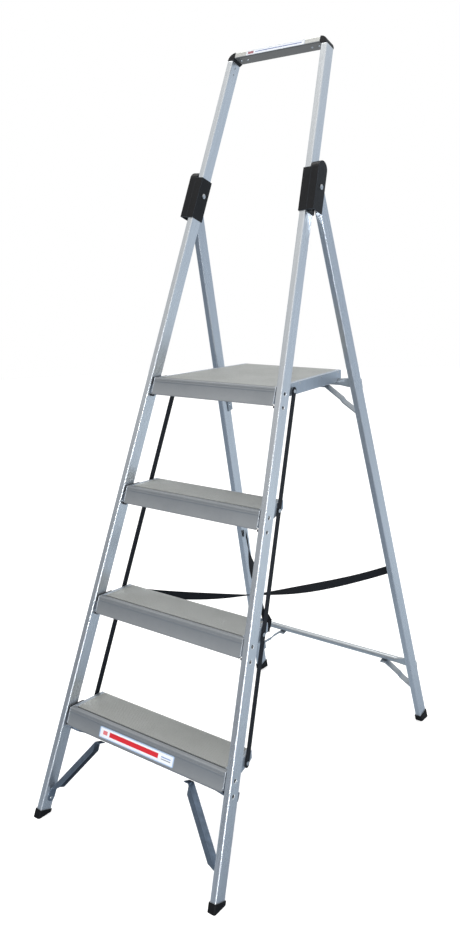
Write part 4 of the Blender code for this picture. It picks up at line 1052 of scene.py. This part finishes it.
LEG_FOOT_DROP = (hinge.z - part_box("rear_leg_right")[0].z) / cos(LEG_LEAN)
CROSSBARS = {"upper": 0.5320, "lower": 1.4640}
CROSSBAR_BACK = LEG_DEPTH / 2 + 0.0003 + 0.0042
for level, drop in CROSSBARS.items():
    for side, sign in SIDES.items():
        place = (sign * leg_centre(drop), CROSSBAR_BACK, -drop)
        rivet(f"{level}_crossbar_rivet_{side}", "rear_frame", REAR, place, (0, 1, 0), 0.0046, 0.0018)
print("4 crossbar rivets")

# %% Brace rivets
BRACE_INSET = 0.0125
for side, sign in SIDES.items():
    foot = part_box(f"front_brace_{side}")
    along = (FRONT.inverted() @ Vector((0, foot[0].y, foot[0].z))).z + BRACE_INSET
    place = (sign * (stile_inner(along) - 0.0024), STILE_DEPTH - 0.012, along)
    rivet(f"front_brace_rivet_{side}", "front_frame", FRONT, place, (-sign, 0, 0), 0.0045, 0.0018)
    for level in CROSSBARS:
        low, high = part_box(f"{level}_brace_{side}")
        drop = -(REAR.inverted() @ Vector((0, low.y, low.z))).z - BRACE_INSET
        place = (sign * (leg_centre(drop) - LEG_WIDTH / 2 - 0.0031), 0.0125, -drop)
        rivet(f"{level}_brace_rivet_{side}", "rear_frame", REAR, place, (-sign, 0, 0), 0.0040, 0.0015)
print("6 brace rivets")

# %% [markdown]
# ## Straps
# Two webbing straps cross behind the treads, from the second tread to the opposite leg. Each starts
# upright at the tread, makes half a twist on the way, and lies flat again on the leg. A strap is a band of
# constant width swept along a sagging line, so it is built directly: a ring of points at each station,
# turned by the twist. Folding the ladder moves its two ends apart, and a piece can bend over one joint
# only, so each strap is two lengths that meet midway.

# %% Strap geometry
STRAP_WIDTH = 0.024
STRAP_THICKNESS = 0.0014
STRAP_SAG = {"left": 0.042, "right": 0.018}
STRAP_STATIONS = 44
strap_ends = {}
for side, sign in SIDES.items():
    low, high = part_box(f"strap_{side}")
    points = [vertex.co for vertex in nodes[f"strap_{side}"].data.vertices]
    start = [p for p in points if abs(p.x - (low.x if sign < 0 else high.x)) < 0.004]
    end = [p for p in points if abs(p.x - (high.x if sign < 0 else low.x)) < 0.004]
    strap_ends[side] = [sum(group, Vector()) / len(group) for group in (start, end)]


def strap_line(side, share):
    start, end = strap_ends[side]
    place = start.lerp(end, share)
    place.z -= STRAP_SAG[side] * 4 * share * (1 - share)
    return place


def ease(value):
    value = min(max(value, 0.0), 1.0)
    return value * value * (3 - 2 * value)


def strap_ring(side, share, twist, bunch):
    """Corners of the band here: twisted about its line, and bunched narrower at the tread's rivet."""
    ahead, behind = strap_line(side, share + 0.01), strap_line(side, share - 0.01)
    along = (ahead - behind).normalized()
    upright = (Vector((0, 0, 1)) - along * along.z).normalized()
    aside = along.cross(upright)
    turn = twist(share)
    width = upright * cos(turn) + aside * sin(turn)
    face = along.cross(width)
    half = STRAP_WIDTH / 2 * bunch(share)
    thick = STRAP_THICKNESS / 2
    middle = strap_line(side, share)
    edge = [(-1, -0.5), (-0.9, -1), (0.9, -1), (1, -0.5), (1, 0.5), (0.9, 1), (-0.9, 1), (-1, 0.5)]
    return [middle + width * half * a + face * thick * b for a, b in edge]


def strap_length(name, side, share_from, share_to, twist, bunch):
    shares = [share_from + (share_to - share_from) * i / STRAP_STATIONS for i in range(STRAP_STATIONS + 1)]
    mesh = skinned([strap_ring(side, share, twist, bunch) for share in shares], name)
    return place_piece(name, mesh, WEBBING, None, smooth_angle=50)


TWISTS = {
    "left": (lambda share: pi * ease((share - 0.12) / 0.80), lambda share: 1.0),
    "right": (lambda share: pi * ease((share - 0.30) / 0.62), lambda share: 0.45 + 0.55 * ease(share / 0.35)),
}
for side in SIDES:
    twist, bunch = TWISTS[side]
    near = strap_length(f"strap_{side}_front_length", side, 0.0, 0.5, twist, bunch)
    far = strap_length(f"strap_{side}_rear_length", side, 0.5, 1.0, twist, bunch)
    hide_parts(f"strap_{side}")
    strap_line(side, 0.02)
    strap_line(side, 0.5)
    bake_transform(near)
    strap_line(side, 0.5)
    strap_line(side, 0.98)
    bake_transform(far)
    print(f"strap_{side}: {(strap_ends[side][1] - strap_ends[side][0]).length:.3f} m between its ends")


# %% Gathered end of the right strap
# (centre, half width, half thickness) up the bundle of webbing behind the second tread
GATHER = (
    ((0.2275, -0.1990, 0.5300), 0.0045, 0.0016), ((0.2275, -0.1960, 0.5430), 0.0085, 0.0022),
    ((0.2275, -0.1940, 0.5590), 0.0108, 0.0026), ((0.2270, -0.1995, 0.5602), 0.0140, 0.0026),
    ((0.2270, -0.2030, 0.5680), 0.0135, 0.0026), ((0.2265, -0.2090, 0.5790), 0.0105, 0.0022),
    ((0.2260, -0.2160, 0.5920), 0.0065, 0.0018), ((0.2255, -0.2215, 0.6060), 0.0022, 0.0012),
)
PLEATS = 9
GATHER_THICKNESS = 0.0016
PLEAT_RIDGE, PLEAT_VALLEY = 0.9, -0.3
GATHER_ASIDE = Vector((0.10, 0.995, 0.0))


def gather_ring(centre, half, thick):
    """A pleated section: a zigzag front and the same zigzag behind it."""
    face = GATHER_ASIDE.cross(Vector((0, 0, 1)))
    front, back = [], []
    for i in range(PLEATS):
        across = GATHER_ASIDE * half * (2 * i / (PLEATS - 1) - 1)
        pleat = face * thick * (PLEAT_RIDGE if i % 2 else PLEAT_VALLEY)
        front.append(Vector(centre) + across + pleat)
        back.append(Vector(centre) + across + pleat - face * GATHER_THICKNESS)
    return front + back[::-1]


mesh = skinned([gather_ring(*station) for station in GATHER], "strap_gathered_end")
place_piece("strap_right_gathered_end", mesh, WEBBING, "tread_2", smooth_angle=50)
print("gathered strap end placed")

# %% [markdown]
# ## The floor's finish
# The floor looks nearly white, but the metal above it should mirror ground that is darker in front and
# brighter behind. Light Path tells the two apart inside the floor's own material.

# %% Floor material
floor_finish = Finish("pale_floor", (0.93, 0.93, 0.93, 1), 0.7, 0.0)
floor_marks = floor_finish.group(HANDLING_MARKS, Patch_Scale=2.0)
floor_colour = floor_finish.tint(floor_marks["Patches"], (0.93, 0.93, 0.93, 1), (0.915, 0.915, 0.92, 1))
floor_split = floor_finish.tree.new("ShaderNodeSeparateXYZ")
floor_finish.link(floor_finish.vector, floor_split.inputs["Vector"])
floor_depth = floor_finish.tree.new("ShaderNodeMapRange")
floor_depth.inputs["From Min"].default_value = -0.8
floor_depth.inputs["From Max"].default_value = 2.4
floor_finish.link(floor_split.outputs["Y"], floor_depth.inputs["Value"])
mirrored = floor_finish.tint(floor_depth.outputs["Result"], (0.22, 0.27, 0.335, 1), (0.80, 0.90, 1.0, 1))
floor_seen = floor_finish.tree.new("ShaderNodeLightPath").outputs["Is Camera Ray"]
floor_mesh.materials.append(floor_finish.use(floor_finish.tint(floor_seen, mirrored, floor_colour)))
floor_finish.shader.inputs["Emission Color"].default_value = (1, 1, 1, 1)
FLOOR_LIFT = 0.34
floor_glow = floor_finish.math("MULTIPLY", floor_seen, FLOOR_LIFT)
floor_finish.link(floor_glow, floor_finish.shader.inputs["Emission Strength"])
floor_finish.shader.inputs["Specular IOR Level"].default_value = 0.1
print("floor finished")
